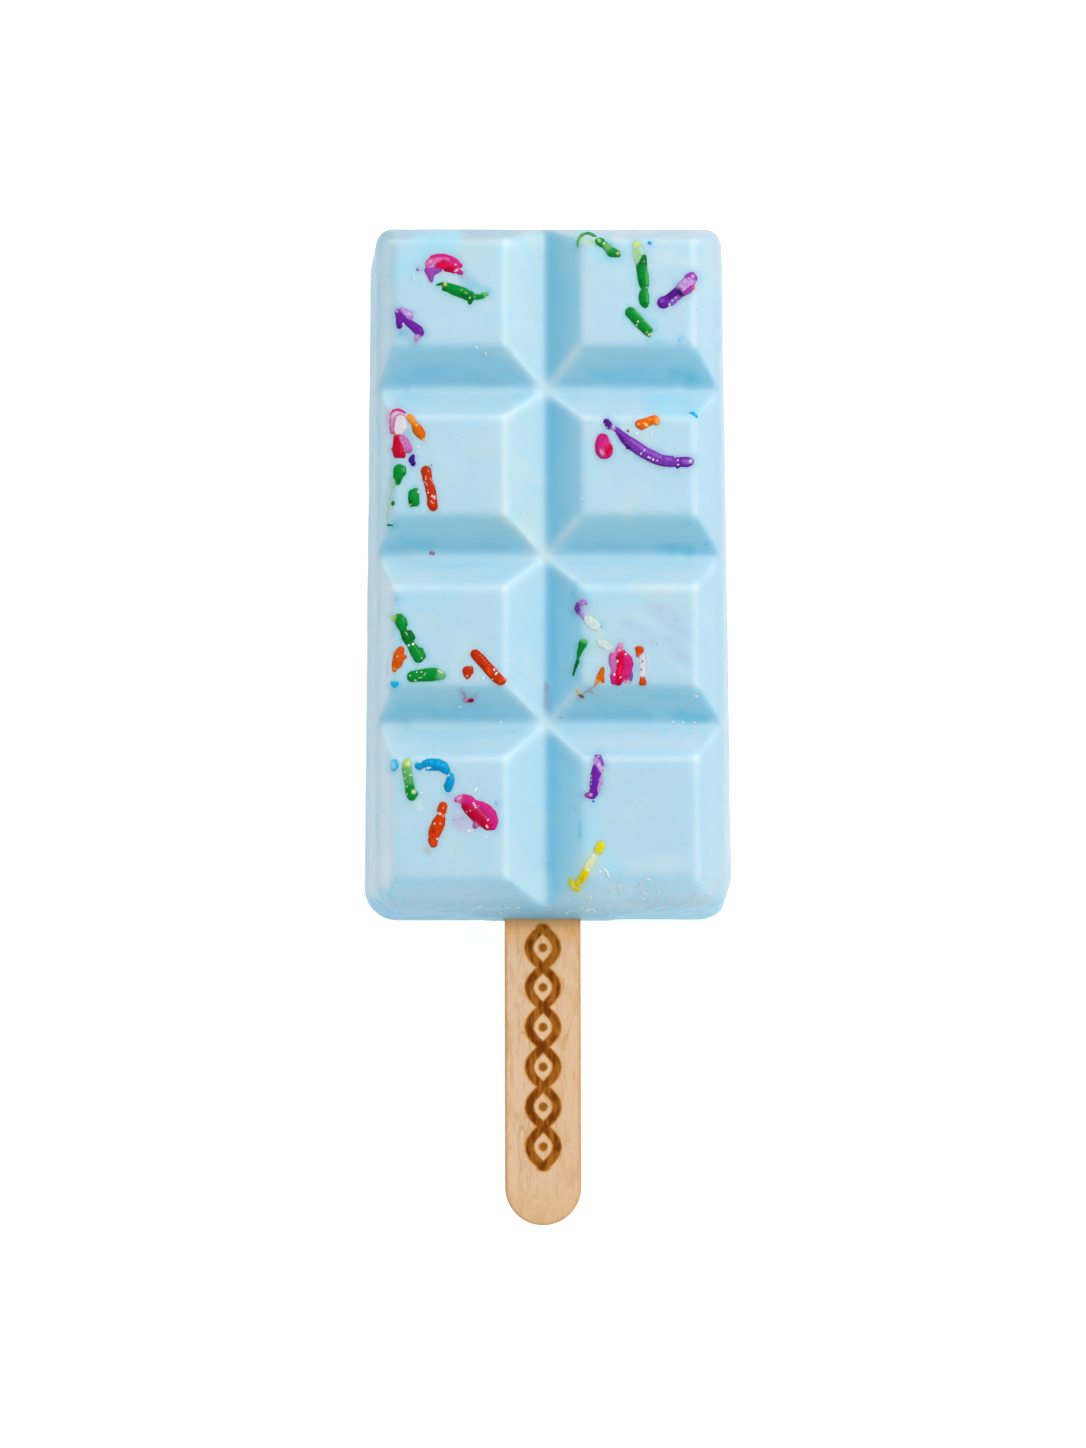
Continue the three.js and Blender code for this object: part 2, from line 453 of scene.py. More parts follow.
# %% Stamp the stick
CORNER_SHARE = 0.499
stick_size = stick_high - stick_low
stick_middle = (stick_low + stick_high) / 2
bpy.ops.mesh.primitive_plane_add(size=1, location=(stick_middle.x, stick_middle.y, stick_low.z))
bpy.ops.transform.resize(value=(stick_size.x, stick_size.y, 1))
stick = fresh("stick")
edit(stick)
bpy.ops.mesh.select_all(action="SELECT")
bpy.ops.mesh.bevel(offset=stick_size.x * CORNER_SHARE, segments=14, affect="VERTICES")
bpy.ops.mesh.select_all(action="SELECT")
bpy.ops.mesh.extrude_region_move(TRANSFORM_OT_translate={"value": (0, 0, stick_size.z)})
faces_outwards()
finish_edit()

# %% [markdown]
# The ice froze tight onto the wood. The pocket is the stick itself, grown by a few
# hundredths of a millimetre and cut out of the bar before the stick's edges are rounded.

# %% Freeze the stick into the bar
FROZEN_GAP = 0.05 * MM
STICK_EDGE_ROUND = 0.25 * MM
SHARP_ANGLE = 50
pocket = stick.copy()
pocket.data = stick.data.copy()
bpy.context.scene.collection.objects.link(pocket)
edit(pocket)
bpy.ops.mesh.select_all(action="SELECT")
grown = [1 + 2 * FROZEN_GAP / side for side in stick_size]
bpy.ops.transform.resize(value=grown, center_override=stick_middle)
finish_edit()
cut(bar, pocket)
edit(stick)
pick(stick, lambda e: abs(e.verts[0].co.z - e.verts[1].co.z) < HAIR, "EDGE")
bpy.ops.mesh.bevel(offset=STICK_EDGE_ROUND, segments=3, affect="EDGES")
finish_edit()
only(stick)
bpy.ops.object.shade_smooth_by_angle(angle=math.radians(SHARP_ANGLE))
for piece, node, slot in ((bar, "ice_bar", "ice"), (stick, "stick", "stick_wood")):
    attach(piece, "root")
    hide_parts(node)
print("bar:", len(bar.data.polygons), "faces, stick:", len(stick.data.polygons), "faces")

# %% [markdown]
# ## Laying sprinkles on the ice
# The sprinkles are where the photograph shows them. Each is read off as a few strokes of a
# brush, and a stroke runs through beads: the photo's column and row, and a half width in
# millimetres. A ray from the camera through that pixel finds the place on the ice.

# %% From the photograph to the ice
from mathutils.bvhtree import BVHTree
from mathutils.kdtree import KDTree

ice_tree = BVHTree.FromObject(bar, bpy.context.evaluated_depsgraph_get())


def on_ice(column, row):
    """The place and the outward direction of the ice at that pixel of the photo."""
    eye, direction = sight_line(column, row)
    return ice_tree.ray_cast(eye, direction)[:2]


def photo_pixel(place):
    """The column and row of the photo at which the camera sees the place."""
    seen = turn.transposed() @ (place - camera.matrix_world.translation)
    focal = LENS / SENSOR * IMAGE_HEIGHT
    column = IMAGE_WIDTH / 2 - seen.x / seen.z * focal
    row = IMAGE_HEIGHT / 2 + seen.y / seen.z * focal
    return Vector((column, row, 0))


PIXELS_PER_MM = 7.8
BEAD_SPACING = 0.3
BEAD_SWELL = 1.05


def string_beads(strokes, swell):
    """Fills each stroke with beads that overlap: pixel, half width and colour of each."""
    beads = []
    for colour, marks in strokes.values():
        for start, end in zip(marks, marks[1:] or marks):
            length = math.dist(start[:2], end[:2]) / PIXELS_PER_MM
            count = max(1, math.ceil(length / (BEAD_SPACING * min(start[2], end[2]))))
            for n in range(count + 1):
                column, row, half = (a + (b - a) * n / count for a, b in zip(start, end))
                beads.append((column, row, half * MM * BEAD_SWELL + swell, colour))
    return beads


# %% [markdown]
# ## Modelling a kind of sprinkle
# One ball is modelled and copied for every bead, pressed flat against the ice and sunk a
# little, so that it stands proud by about half of its half width. The copies are joined, a
# voxel remesh melts them into one skin, and a cloudy displacement makes the skin lumpy.
# Where a sprinkle has dissolved to a film, the balls are pressed almost flat.

# %% Balls, skin and lumps
ROD_RISE = 0.62
FILM_RISE = 0.22
ROD_SUNK = 0.15
FILM_SUNK = 0.22
SKIN_GRID = 0.085 * MM
SWELL = 0.03 * MM
THINNEST = 1.2 * SKIN_GRID
LUMP_SIZE = 0.45 * MM
LUMP_HEIGHT = 0.06 * MM
bpy.ops.mesh.primitive_ico_sphere_add(subdivisions=3, radius=1)
ball = fresh("ball")
lumps = clouds("lumps", LUMP_SIZE)


def press_balls(beads, rise, sunk):
    pressed = []
    for column, row, half, colour in beads:
        place, normal = on_ice(column, row)
        if place is None:
            continue
        height = max(half * rise, THINNEST)
        copy = ball.copy()
        copy.data = ball.data.copy()
        bpy.context.scene.collection.objects.link(copy)
        copy.matrix_world = (
            Matrix.Translation(place - normal * height * sunk)
            @ normal.to_track_quat("Z", "Y").to_matrix().to_4x4()
            @ Matrix.Diagonal((half, half, height, 1))
        )
        pressed.append(copy)
    return pressed


# Blender's vector noise starts from the clock. A fixed seed gives the same colours each run.
ripple.seed_set(5)


def blend(under, over, share):
    return tuple(a + (b - a) * share for a, b in zip(under, over))


def ease(value, start, end):
    share = max(0, min(1, (value - start) / (end - start)))
    return share * share * (3 - 2 * share)


LINK_REACH = 2.9
TINY = 1e-6


def linked_dabs(dabs):
    """Dabs of one colour that nearly touch become short lines with a reach in pixels."""
    lines = []
    for colour, marks in dabs.values():
        for index, start in enumerate(marks):
            end = marks[index + 1] if index + 1 < len(marks) else start
            reach = start[2] * PIXELS_PER_MM
            near = colour != WHITE and math.dist(start[:2], end[:2]) < LINK_REACH * reach + 1
            lines.append((Vector(start[:2]), Vector(end[:2] if near else start[:2]), reach, colour))
    return lines


def away_from(pixel, start, end):
    """How far the pixel is from the line."""
    along = end - start
    share = max(0, min(1, (pixel - start).dot(along) / max(along.length_squared, TINY)))
    return (pixel - start - along * share).length


WANDER_SIZE = 0.3 * MM
WANDER_PIXELS = 0.75
NEAR_BEADS = 7
FROST_GRAIN = 0.24 * MM
FROST_SHARE = 0.28
RIM_START = -3.2
RIM_END = 0.3
RIM_SHARE = 0.75
DAB_BOX = 12
GLINT_EDGES = (0.4, 1.2)
DAB_EDGES = (0.1, 1.5)


def pixel_tree(beads):
    tree = KDTree(len(beads))
    for index, bead in enumerate(beads):
        tree.insert((bead[0], bead[1], 0), index)
    tree.balance()
    return tree


def paint_sprinkles(piece, beads, dabs):
    """Colours each vertex like the nearest beads, and then like the dabs that lie over it."""
    tree = pixel_tree(beads)
    lines = linked_dabs(dabs)
    tint = piece.data.color_attributes.new("tint", "FLOAT_COLOR", "POINT")
    for vertex, paint in zip(piece.data.vertices, tint.data):
        pixel = photo_pixel(vertex.co)
        wander = ripple.noise_vector(vertex.co / WANDER_SIZE) * WANDER_PIXELS
        pixel += Vector((wander.x, wander.y, 0))
        near = [(distance - beads[index][2] / MM * PIXELS_PER_MM, index)
                for place, index, distance in tree.find_n(pixel, NEAR_BEADS)]
        closest = min(near)[0]
        colour, total = (0, 0, 0), 0
        for off, index in near:
            nearness = math.exp(closest - off)
            total += nearness
            colour = blend(colour, beads[index][3], nearness / total)
        main = beads[min(near)[1]][3]
        if main in FROSTED:
            grain = ripple.noise(vertex.co / FROST_GRAIN)
            colour = blend(colour, WHITE, FROST_SHARE * ease(grain, 0, 0.5))
        if main in THIN:
            rim = ease(closest, RIM_START, RIM_END)
            colour = blend(colour, BARE_ICE, RIM_SHARE * rim)
        flat = pixel.to_2d()
        for start, end, reach, over in lines:
            if abs(flat.x - start.x) < DAB_BOX and abs(flat.y - start.y) < DAB_BOX:
                core, edge = GLINT_EDGES if over == WHITE else DAB_EDGES
                away = away_from(flat, start, end)
                colour = blend(colour, over, 1 - ease(away, reach * core, reach * edge))
        paint.color = (*colour, 1)


all_beads = []


def model_sprinkles(name, halo, strokes, films, dabs, film_swell=0):
    rods, flats = string_beads(strokes, SWELL), string_beads(films, film_swell)
    balls = press_balls(rods, ROD_RISE, ROD_SUNK) + press_balls(flats, FILM_RISE, FILM_SUNK)
    piece = join(balls, name)
    only(piece)
    bpy.ops.object.transform_apply(location=True, rotation=True, scale=True)
    apply_modifier(piece, "REMESH", mode="VOXEL", voxel_size=SKIN_GRID)
    apply_modifier(piece, "SMOOTH", factor=0.5, iterations=3)
    apply_modifier(piece, "DISPLACE", texture=lumps, strength=LUMP_HEIGHT)
    bpy.ops.object.shade_smooth()
    paint_sprinkles(piece, rods + flats, dabs)
    all_beads.extend((column, row, half, halo) for column, row, half, colour in rods + flats)
    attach(piece, "root")
    print(name, len(piece.data.polygons), "faces from", len(rods + flats), "balls")
    return piece


# %% [markdown]
# ## The dyes
# Sugar strands are dyed, and where they got wet the dye is thin and the sugar shows through.

# %% Mix the dyes
WHITE = (0.85, 0.88, 0.9)
GREEN = (0.001, 0.23, 0.028)
DEEP_GREEN = (0.0005, 0.145, 0.016)
LEAF = (0.11, 0.4, 0.11)
PALE_LEAF = (0.31, 0.56, 0.26)
LIME = (0.42, 0.58, 0.12)
LEMON = (0.62, 0.58, 0.12)
YELLOW = (0.66, 0.6, 0.01)
PALE_YELLOW = (0.62, 0.66, 0.33)
CREAM = (0.55, 0.65, 0.61)
PURPLE = (0.135, 0.014, 0.32)
DEEP_PURPLE = (0.08, 0.009, 0.22)
LIT_PURPLE = (0.24, 0.08, 0.46)
LILAC = (0.42, 0.22, 0.56)
FROST_LILAC = (0.62, 0.52, 0.7)
VIOLET = (0.04, 0.007, 0.22)
PLUM = (0.3, 0.05, 0.38)
CRIMSON = (0.53, 0.001, 0.044)
DARK_CRIMSON = (0.28, 0.004, 0.02)
MAGENTA = (0.54, 0.015, 0.19)
ORCHID = (0.48, 0.13, 0.38)
ROSE = (0.58, 0.12, 0.34)
BLUSH = (0.7, 0.42, 0.56)
ORANGE = (0.6, 0.085, 0.002)
AMBER = (0.76, 0.27, 0.03)
RED_ORANGE = (0.46, 0.026, 0.001)
SALMON = (0.78, 0.3, 0.18)
BLUE = (0.001, 0.275, 0.56)
SKY = (0.002, 0.41, 0.76)
PALE_SKY = (0.22, 0.58, 0.76)
BROWN = (0.22, 0.1, 0.05)
BARE_ICE = (0.45, 0.64, 0.72)
CLEAR_PINK = (0.64, 0.6, 0.64)
THIN = (PALE_LEAF, CREAM, PALE_YELLOW, FROST_LILAC, BLUSH, CLEAR_PINK)
FROSTED = (FROST_LILAC, BLUSH, ROSE, LILAC)

# %% [markdown]
# ## Green sprinkles
# There are more greens than any other colour, and most are broken into two or three short
# lengths. The names give the square that each lies on: rows 1 to 4 from the far end, left or
# right. Where the dye has run out, an end is lime or nearly white.

# %% Green
SOFT_GREEN = (0.1, 0.4, 0.15)
MIDDLE_GREEN = (0.07, 0.34, 0.08)
GREENISH_LEMON = (0.54, 0.6, 0.17)
LIT_GREEN = (0.06, 0.36, 0.08)
GREEN_STROKES = dict(
    rod_1_left_tail=(DEEP_GREEN, [(437, 285, 0.13), (443, 283.5, 0.2)]),
    rod_1_left=(GREEN, [(447, 287, 0.55), (455, 290, 0.66), (463, 293, 0.68), (470.5, 296.5, 0.62)]),
    rod_1_left_foot=(DEEP_GREEN, [(444.5, 288.5, 0.33), (447, 288, 0.4)]),
    rod_1_left_drip=(DEEP_GREEN, [(470.5, 299, 0.36), (470, 302.5, 0.27)]),
    rod_1_left_end=(GREEN, [(477, 297, 0.36), (483, 296, 0.3)]),
    rod_1_left_end_tip=(LEAF, [(483, 294.5, 0.28), (487, 294, 0.2)]),
    arc_1_right=(GREEN, [(580, 237, 0.24), (583, 234.4, 0.32), (587.5, 233.4, 0.36), (591.5, 234.2, 0.34),
        (594.5, 236.4, 0.26)]),
    arc_1_right_side=(LEAF, [(577.8, 246, 0.15), (577.8, 241.5, 0.2), (580, 237, 0.24)]),
    knot_1_right=(GREEN, [(600, 241, 0.58), (603, 245, 0.36)]),
    pale_1_right=(LEAF, [(605.5, 245.5, 0.46), (608.5, 249, 0.5)]),
    end_1_right=(GREEN, [(611.5, 252, 0.62), (616.5, 253.7, 0.46), (618.5, 255, 0.26)]),
    upright_1_right_head=(DEEP_GREEN, [(643.4, 257.5, 0.4), (642, 262.5, 0.62), (641.6, 266, 0.66)]),
    upright_1_right=(GREEN, [(641.5, 266, 0.66), (643, 276, 0.7), (644, 283.5, 0.64),
        (644.5, 287.5, 0.44)]),
    upright_1_right_low=(GREEN, [(644, 291.5, 0.5), (643.8, 297, 0.66), (644.4, 302, 0.6),
        (645, 304.6, 0.42)]),
    slant_1_right=(GREEN, [(630.5, 312.5, 0.66), (636, 318, 0.7), (642, 325, 0.66), (647.5, 330.5, 0.62)]),
    slant_1_right_end=(GREEN, [(648.5, 332, 0.45), (648.8, 335.5, 0.24)]),
    bulb_2_left=(GREEN, [(399, 470, 0.7), (397.5, 477.5, 0.6), (397.5, 481.5, 0.42)]),
    bulb_2_left_side=(GREEN, [(402.5, 469, 0.42), (402.8, 473, 0.4)]),
    dot_2_left=(DEEP_GREEN, [(392.4, 503, 0.3), (393, 503.4, 0.28)]),
    block_2_left=(GREEN, [(412.5, 493.5, 0.52), (413.3, 498.5, 0.64), (415, 502, 0.54)]),
    block_2_left_corners=(GREEN, [(415.5, 490.5, 0.34), (416.8, 496, 0.3), (417, 503.5, 0.28)]),
    block_2_left_foot=(DEEP_GREEN, [(410.5, 500, 0.28), (411.5, 504.5, 0.3)]),
    thread_2_left_tip=(GREEN, [(387.5, 525, 0.15), (392.3, 525.4, 0.13)]),
    tip_3_left=(LIME, [(391.8, 618, 0.2), (394, 618.3, 0.3)]),
    slant_3_left_top=(GREEN, [(399, 618.8, 0.64), (401.2, 624, 0.62), (402.6, 628.6, 0.46)]),
    slant_3_left_top_corner=(GREEN, [(404, 620, 0.32), (405.8, 624.6, 0.24)]),
    slant_3_left_middle=(DEEP_GREEN, [(403.2, 630.5, 0.42), (406, 637, 0.54), (409.5, 642.5, 0.5)]),
    slant_3_left_middle_side=(DEEP_GREEN, [(409.5, 633.5, 0.42), (411.5, 637.5, 0.46), (408, 640.5, 0.5)]),
    slant_3_left_low=(GREEN, [(411.6, 645.6, 0.52), (416, 652.5, 0.68), (418.6, 657.6, 0.64)]),
    slant_3_left_low_corner=(GREEN, [(421, 650, 0.3), (423.5, 656.5, 0.3)]),
    level_3_left=(GREEN, [(412.5, 676.6, 0.66), (420.5, 675.4, 0.72), (428, 674.4, 0.76),
        (434.6, 674.2, 0.78)]),
    level_3_left_corner=(GREEN, [(410, 679.3, 0.28), (431, 679, 0.3)]),
    level_3_left_end=(SOFT_GREEN, [(438.6, 674.6, 0.64), (442.4, 675.6, 0.42)]),
    leaf_3_right=(GREEN, [(582.8, 643.5, 0.56), (581, 648, 0.42), (579, 653.5, 0.34), (578, 657.5, 0.2)]),
    leaf_3_right_corner=(LEAF, [(585.3, 641.8, 0.26), (582, 640.8, 0.24)]),
    leaf_3_right_low=(DEEP_GREEN, [(577.6, 661.5, 0.3), (575.4, 667.5, 0.23), (573.2, 675, 0.16)]),
    speckled_4_left_tip=(LIME, [(407.4, 759.8, 0.28), (406.7, 764.5, 0.5)]),
    speckled_4_left=(LEAF, [(406.6, 768, 0.56), (407.4, 773, 0.56)]),
    speckled_4_left_mid=(MIDDLE_GREEN, [(408, 776.5, 0.56), (409, 782.5, 0.56)]),
    speckled_4_left_low=(GREEN, [(409.6, 786.5, 0.56), (410.4, 792, 0.6), (411.8, 796, 0.56)]),
    speckled_4_left_side=(GREEN, [(415.6, 794.3, 0.3), (413.6, 792, 0.36)]),
)
GREEN_FILMS = dict(
    upright_1_right_pale=(PALE_LEAF, [(637.3, 248.5, 0.6), (638, 253, 0.7), (637.6, 258, 0.58),
        (636.8, 262, 0.28)]),
    upright_1_right_top=(GREENISH_LEMON, [(634.8, 245.6, 0.26), (636.8, 243.4, 0.36),
        (639.6, 245.4, 0.26)]),
    green_dot_3_right=(GREEN, [(601, 626.6, 0.13), (601.5, 627, 0.12)]),
    tail_2_left=(PALE_LEAF, [(392.8, 480, 0.22), (392.8, 486.5, 0.2)]),
    thread_2_left=(PALE_LEAF, [(391.9, 489, 0.13), (390.2, 500, 0.12), (388.2, 511, 0.12),
        (386.8, 520, 0.12)]),
)
GREEN_DABS = dict(
    yellow_spots=(LEMON, [(445, 284, 0.27), (618, 253.2, 0.2), (410.5, 505, 0.14), (647, 332.4, 0.14)]),
    pale_ends=(PALE_YELLOW, [(477.5, 292.6, 0.16), (480, 292.8, 0.16), (604.2, 243.6, 0.18),
        (649, 335, 0.15), (652.6, 333.2, 0.16), (438.5, 670.6, 0.13), (441.8, 672.3, 0.12),
        (413.8, 791.8, 0.3)]),
    knot_eye=(PALE_LEAF, [(599, 241, 0.24), (598.7, 239.5, 0.15)]),
    lit_sides=(LIT_GREEN, [(646.6, 267, 0.17), (647, 271, 0.2), (647.4, 275, 0.2), (647.6, 279, 0.2),
        (647.6, 283, 0.18), (647, 292.5, 0.17), (647.4, 296.5, 0.18), (647.5, 300.5, 0.16),
        (635.3, 310.8, 0.17), (638.5, 313.6, 0.19), (641.7, 316.8, 0.2), (644.9, 320.2, 0.19),
        (648, 323.6, 0.19), (651, 327, 0.17), (403.7, 468, 0.14), (404, 471, 0.12), (393.2, 473.5, 0.13),
        (402.9, 618, 0.12), (404.2, 621.5, 0.1)]),
    inner_shadows=(DEEP_GREEN, [(471, 294.5, 0.3), (466, 296, 0.28), (461, 294, 0.2), (641, 285, 0.2),
        (641, 281, 0.2), (644.5, 303, 0.24), (399.5, 478, 0.2), (399, 481, 0.2), (576.9, 652.5, 0.14)]),
    glints=(WHITE, [(469.6, 297.8, 0.13), (640.2, 289.3, 0.14), (646.6, 287.2, 0.1), (648.6, 288.4, 0.1),
        (637.7, 321.7, 0.13), (636.4, 325, 0.1), (408.7, 645.4, 0.15), (413, 644, 0.15), (421.7, 658, 0.1),
        (417, 672.3, 0.1), (421.5, 672, 0.1), (409.7, 675.5, 0.1), (415.3, 680.3, 0.1),
        (418.2, 491.8, 0.12)]),
    # Pale streaks: painted highlight lines along the rods, and a pale divider between two lengths of rod 1
    # left.
    highlight_streaks=(PALE_LEAF, [(461.8, 290, 0.12), (465.5, 292.3, 0.08), (467, 293.6, 0.08), (474.6, 294, 0.08),
        (474.6, 297, 0.08), (405.6, 632.3, 0.08), (407, 634.6, 0.06), (408.3, 637, 0.05),
        (415.5, 647, 0.06), (417.3, 649.5, 0.06), (419, 652, 0.06), (420.7, 654.6, 0.06),
        (425.3, 673, 0.08), (424, 675.3, 0.08), (421.5, 677.2, 0.08), (419, 677.8, 0.1),
        (644.3, 261.5, 0.1)]),
    cream_dots=(CREAM, [(408.2, 761.5, 0.16), (408.4, 764, 0.18), (404.9, 772.3, 0.15),
        (410.7, 775.1, 0.16), (404.7, 778.4, 0.15), (406.8, 786.6, 0.14), (406.6, 794.4, 0.13)]),
)
green = model_sprinkles("green_sprinkles", "green", GREEN_STROKES, GREEN_FILMS,
                        GREEN_DABS)

# %% [markdown]
# ## Purple sprinkles
# The longest strand of all is the bent purple one on square 2 right. The others are half
# covered by a skin of frost, which makes them lilac and mottled white.

# %% Purple
BRIGHT_PURPLE = (0.165, 0.032, 0.36)
DUSKY_PURPLE = (0.14, 0.04, 0.34)
SOFT_LILAC = (0.36, 0.18, 0.56)
PALE_PURPLE = (0.4, 0.22, 0.6)
BLUISH_PURPLE = (0.2, 0.15, 0.48)
HAZE_PURPLE = (0.2, 0.07, 0.34)
NEARLY_BLACK = (0.035, 0.006, 0.1)
CORNER_RED = (0.72, 0.1, 0.05)
PURPLE_STROKES = dict(
    wedge_1_left=(PURPLE, [(399, 313, 0.5), (402, 317, 0.72), (400, 322, 0.5), (399.5, 326, 0.36)]),
    wedge_1_left_shoulder=(LILAC, [(402, 310.5, 0.36), (408, 313.5, 0.5), (411, 317, 0.3)]),
    leg_1_left=(PURPLE, [(407, 321.5, 0.42), (412.5, 325.5, 0.52), (418, 330, 0.6), (419.8, 332.5, 0.54)]),
    leg_1_left_foot=(LILAC, [(417.5, 336.5, 0.36), (416.3, 340.5, 0.24)]),
    big_drop_1_right=(PURPLE, [(663.5, 302.5, 0.76), (665, 301.5, 0.7)]),
    neck_1_right=(DEEP_PURPLE, [(668, 298.5, 0.5), (674, 294.8, 0.6), (679, 291, 0.66)]),
    neck_1_right_side=(LIT_PURPLE, [(671.5, 303, 0.34), (676, 298.6, 0.4), (680.5, 296, 0.26)]),
    frosted_1_right=(LILAC, [(681, 289, 0.68), (686, 284.6, 0.82), (690.4, 280.6, 0.74)]),
    frosted_1_right_top=(PLUM, [(687, 277.2, 0.34), (692, 275.6, 0.46), (695.6, 278.4, 0.36)]),
    frosted_1_right_side=(PLUM, [(683.5, 294, 0.3), (689, 291, 0.3), (693.4, 287, 0.26)]),
    curve_2_right_head=(DEEP_PURPLE, [(606.5, 421.8, 0.4), (609.5, 426, 0.44)]),
    curve_2_right_neck=(LILAC, [(612, 427, 0.24), (614.5, 429.4, 0.22)]),
    curve_2_right=(BRIGHT_PURPLE, [(616, 428.8, 0.28), (620.3, 433.6, 0.44), (626, 439.6, 0.64),
        (634, 445.5, 0.75), (641, 450.4, 0.74), (649, 455, 0.73), (657, 458.8, 0.73), (664, 460.8, 0.7),
        (671.5, 461.6, 0.68), (676, 461.8, 0.58)]),
    curve_2_right_end=(PURPLE, [(680.5, 462, 0.6), (686.5, 462, 0.64), (690, 461.6, 0.5)]),
    curve_2_right_burrs=(DEEP_PURPLE, [(627, 448.5, 0.14), (627.5, 446, 0.15)]),
    curve_2_right_drip=(DEEP_PURPLE, [(677.5, 465.5, 0.2), (677.5, 467.2, 0.2)]),
    bean_2_left=(VIOLET, [(413, 456, 0.22), (411.3, 460, 0.36), (413, 463.5, 0.33)]),
    hook_3_right=(DUSKY_PURPLE, [(577.6, 604.6, 0.3), (577, 608.4, 0.42), (578.6, 611.6, 0.34)]),
    hook_3_right_top=(SOFT_LILAC, [(580, 603.6, 0.32), (583.4, 601.8, 0.32), (586, 603.4, 0.2)]),
    hook_3_right_low=(PALE_PURPLE, [(580.2, 612.8, 0.26), (582.6, 616, 0.22), (584, 618.6, 0.16)]),
    top_4_right=(LIT_PURPLE, [(596.5, 756, 0.24), (599.5, 756.5, 0.28), (602, 760.8, 0.15),
        (603.2, 764.8, 0.13)]),
    rod_4_right=(PURPLE, [(595.5, 766, 0.3), (596.4, 772, 0.62), (596, 779, 0.68), (595, 786, 0.64),
        (594, 792, 0.56), (592.6, 796, 0.4)]),
    rod_4_right_foot=(PLUM, [(587, 795, 0.3), (590.5, 795.4, 0.42)]),
)
PURPLE_FILMS = dict(
    speck_1_left=(BLUISH_PURPLE, [(417.4, 269.6, 0.25), (418, 269, 0.2)]),
    link_1_left=(FROST_LILAC, [(419.5, 268.8, 0.11), (424, 268.6, 0.11)]),
    frost_4_right=(LILAC, [(597, 760.5, 0.5), (599.5, 766, 0.52), (601.4, 770.6, 0.28)]),
    side_4_right=(LILAC, [(601.4, 778, 0.2), (601.4, 784, 0.24), (599, 790, 0.16)]),
    crimson_haze_3_right=(HAZE_PURPLE, [(630.4, 671.5, 0.26), (631, 675, 0.32), (630.6, 679, 0.28)]),
    purple_speck_4_left=(LILAC, [(496.3, 803.2, 0.11), (496.8, 803.5, 0.11)]),
)
PURPLE_DABS = dict(
    lit_backs=(LIT_PURPLE, [(631, 440, 0.2), (634.5, 442.6, 0.22), (638, 445, 0.22), (641.5, 447.5, 0.2),
        (645, 450, 0.2), (649, 452, 0.2), (652.5, 453.6, 0.2), (656.5, 455.5, 0.2), (661, 457.4, 0.17),
        (666, 458.6, 0.18), (670, 459.2, 0.2), (632, 446.5, 0.1), (637, 450, 0.1), (642, 453.4, 0.1),
        (655, 461, 0.1), (661, 462.8, 0.1), (667, 463.6, 0.1), (684, 461.4, 0.34), (687, 462, 0.28),
        (662, 300.5, 0.3)]),
    deep_folds=(DEEP_PURPLE, [(619, 434.5, 0.16), (621.5, 437.5, 0.16), (624, 441, 0.16),
        (399.5, 325, 0.22), (399.5, 327.5, 0.2)]),
    nearly_black=(NEARLY_BLACK, [(679, 290.6, 0.38), (681, 294.3, 0.24)]),
    frost_lines=(FROST_LILAC, [(405, 327, 0.07), (407.5, 330, 0.07), (410, 333, 0.07), (412.5, 336, 0.07),
        (403.5, 310, 0.08), (406, 311.5, 0.08), (408, 314, 0.08), (410.5, 314.5, 0.1), (407.5, 317.5, 0.08),
        (604.5, 424.3, 0.1), (606.8, 427.5, 0.1), (610.5, 431, 0.12), (690.8, 461, 0.3),
        (643.8, 451.2, 0.08), (644.8, 449.6, 0.08), (672, 300.5, 0.14), (675.5, 297.6, 0.14),
        (678, 301, 0.12), (590.6, 794.5, 0.2), (591.2, 776, 0.1), (591.2, 780, 0.1), (591, 784, 0.1),
        (598.5, 756.4, 0.14)]),
    pink_rims=(BLUSH, [(397, 311.3, 0.16), (693, 276.3, 0.2), (583.5, 603.8, 0.14)]),
    red_corner=(CORNER_RED, [(694.2, 287, 0.24), (693.6, 289.4, 0.14)]),
    white_mottle=(BLUSH, [(684, 290, 0.1), (686.5, 287.2, 0.12), (689.3, 284.4, 0.12), (685.3, 283.2, 0.1),
        (691.5, 282.3, 0.1)]),
    glints=(WHITE, [(403.6, 324, 0.14), (669.6, 304.4, 0.15), (614.2, 424.8, 0.16), (648.7, 447.4, 0.11),
        (662.5, 453.7, 0.14), (675, 456.2, 0.17), (641, 453.7, 0.13), (648.6, 457, 0.12),
        (650.3, 457.7, 0.1), (653.4, 459.4, 0.13), (657, 460.4, 0.13), (678.4, 460.2, 0.1),
        (678.4, 464.6, 0.12), (589.3, 788.4, 0.13), (409.9, 464, 0.1), (415.6, 459, 0.1)]),
)
purple = model_sprinkles("purple_sprinkles", "purple", PURPLE_STROKES, PURPLE_FILMS,
                         PURPLE_DABS)

# %% [markdown]
# ## Pink sprinkles
# These are flakes as much as rods: a crimson core with magenta sides, frosted where the
# sugar shows through. The one on square 2 left has dissolved to a pink film above its core.

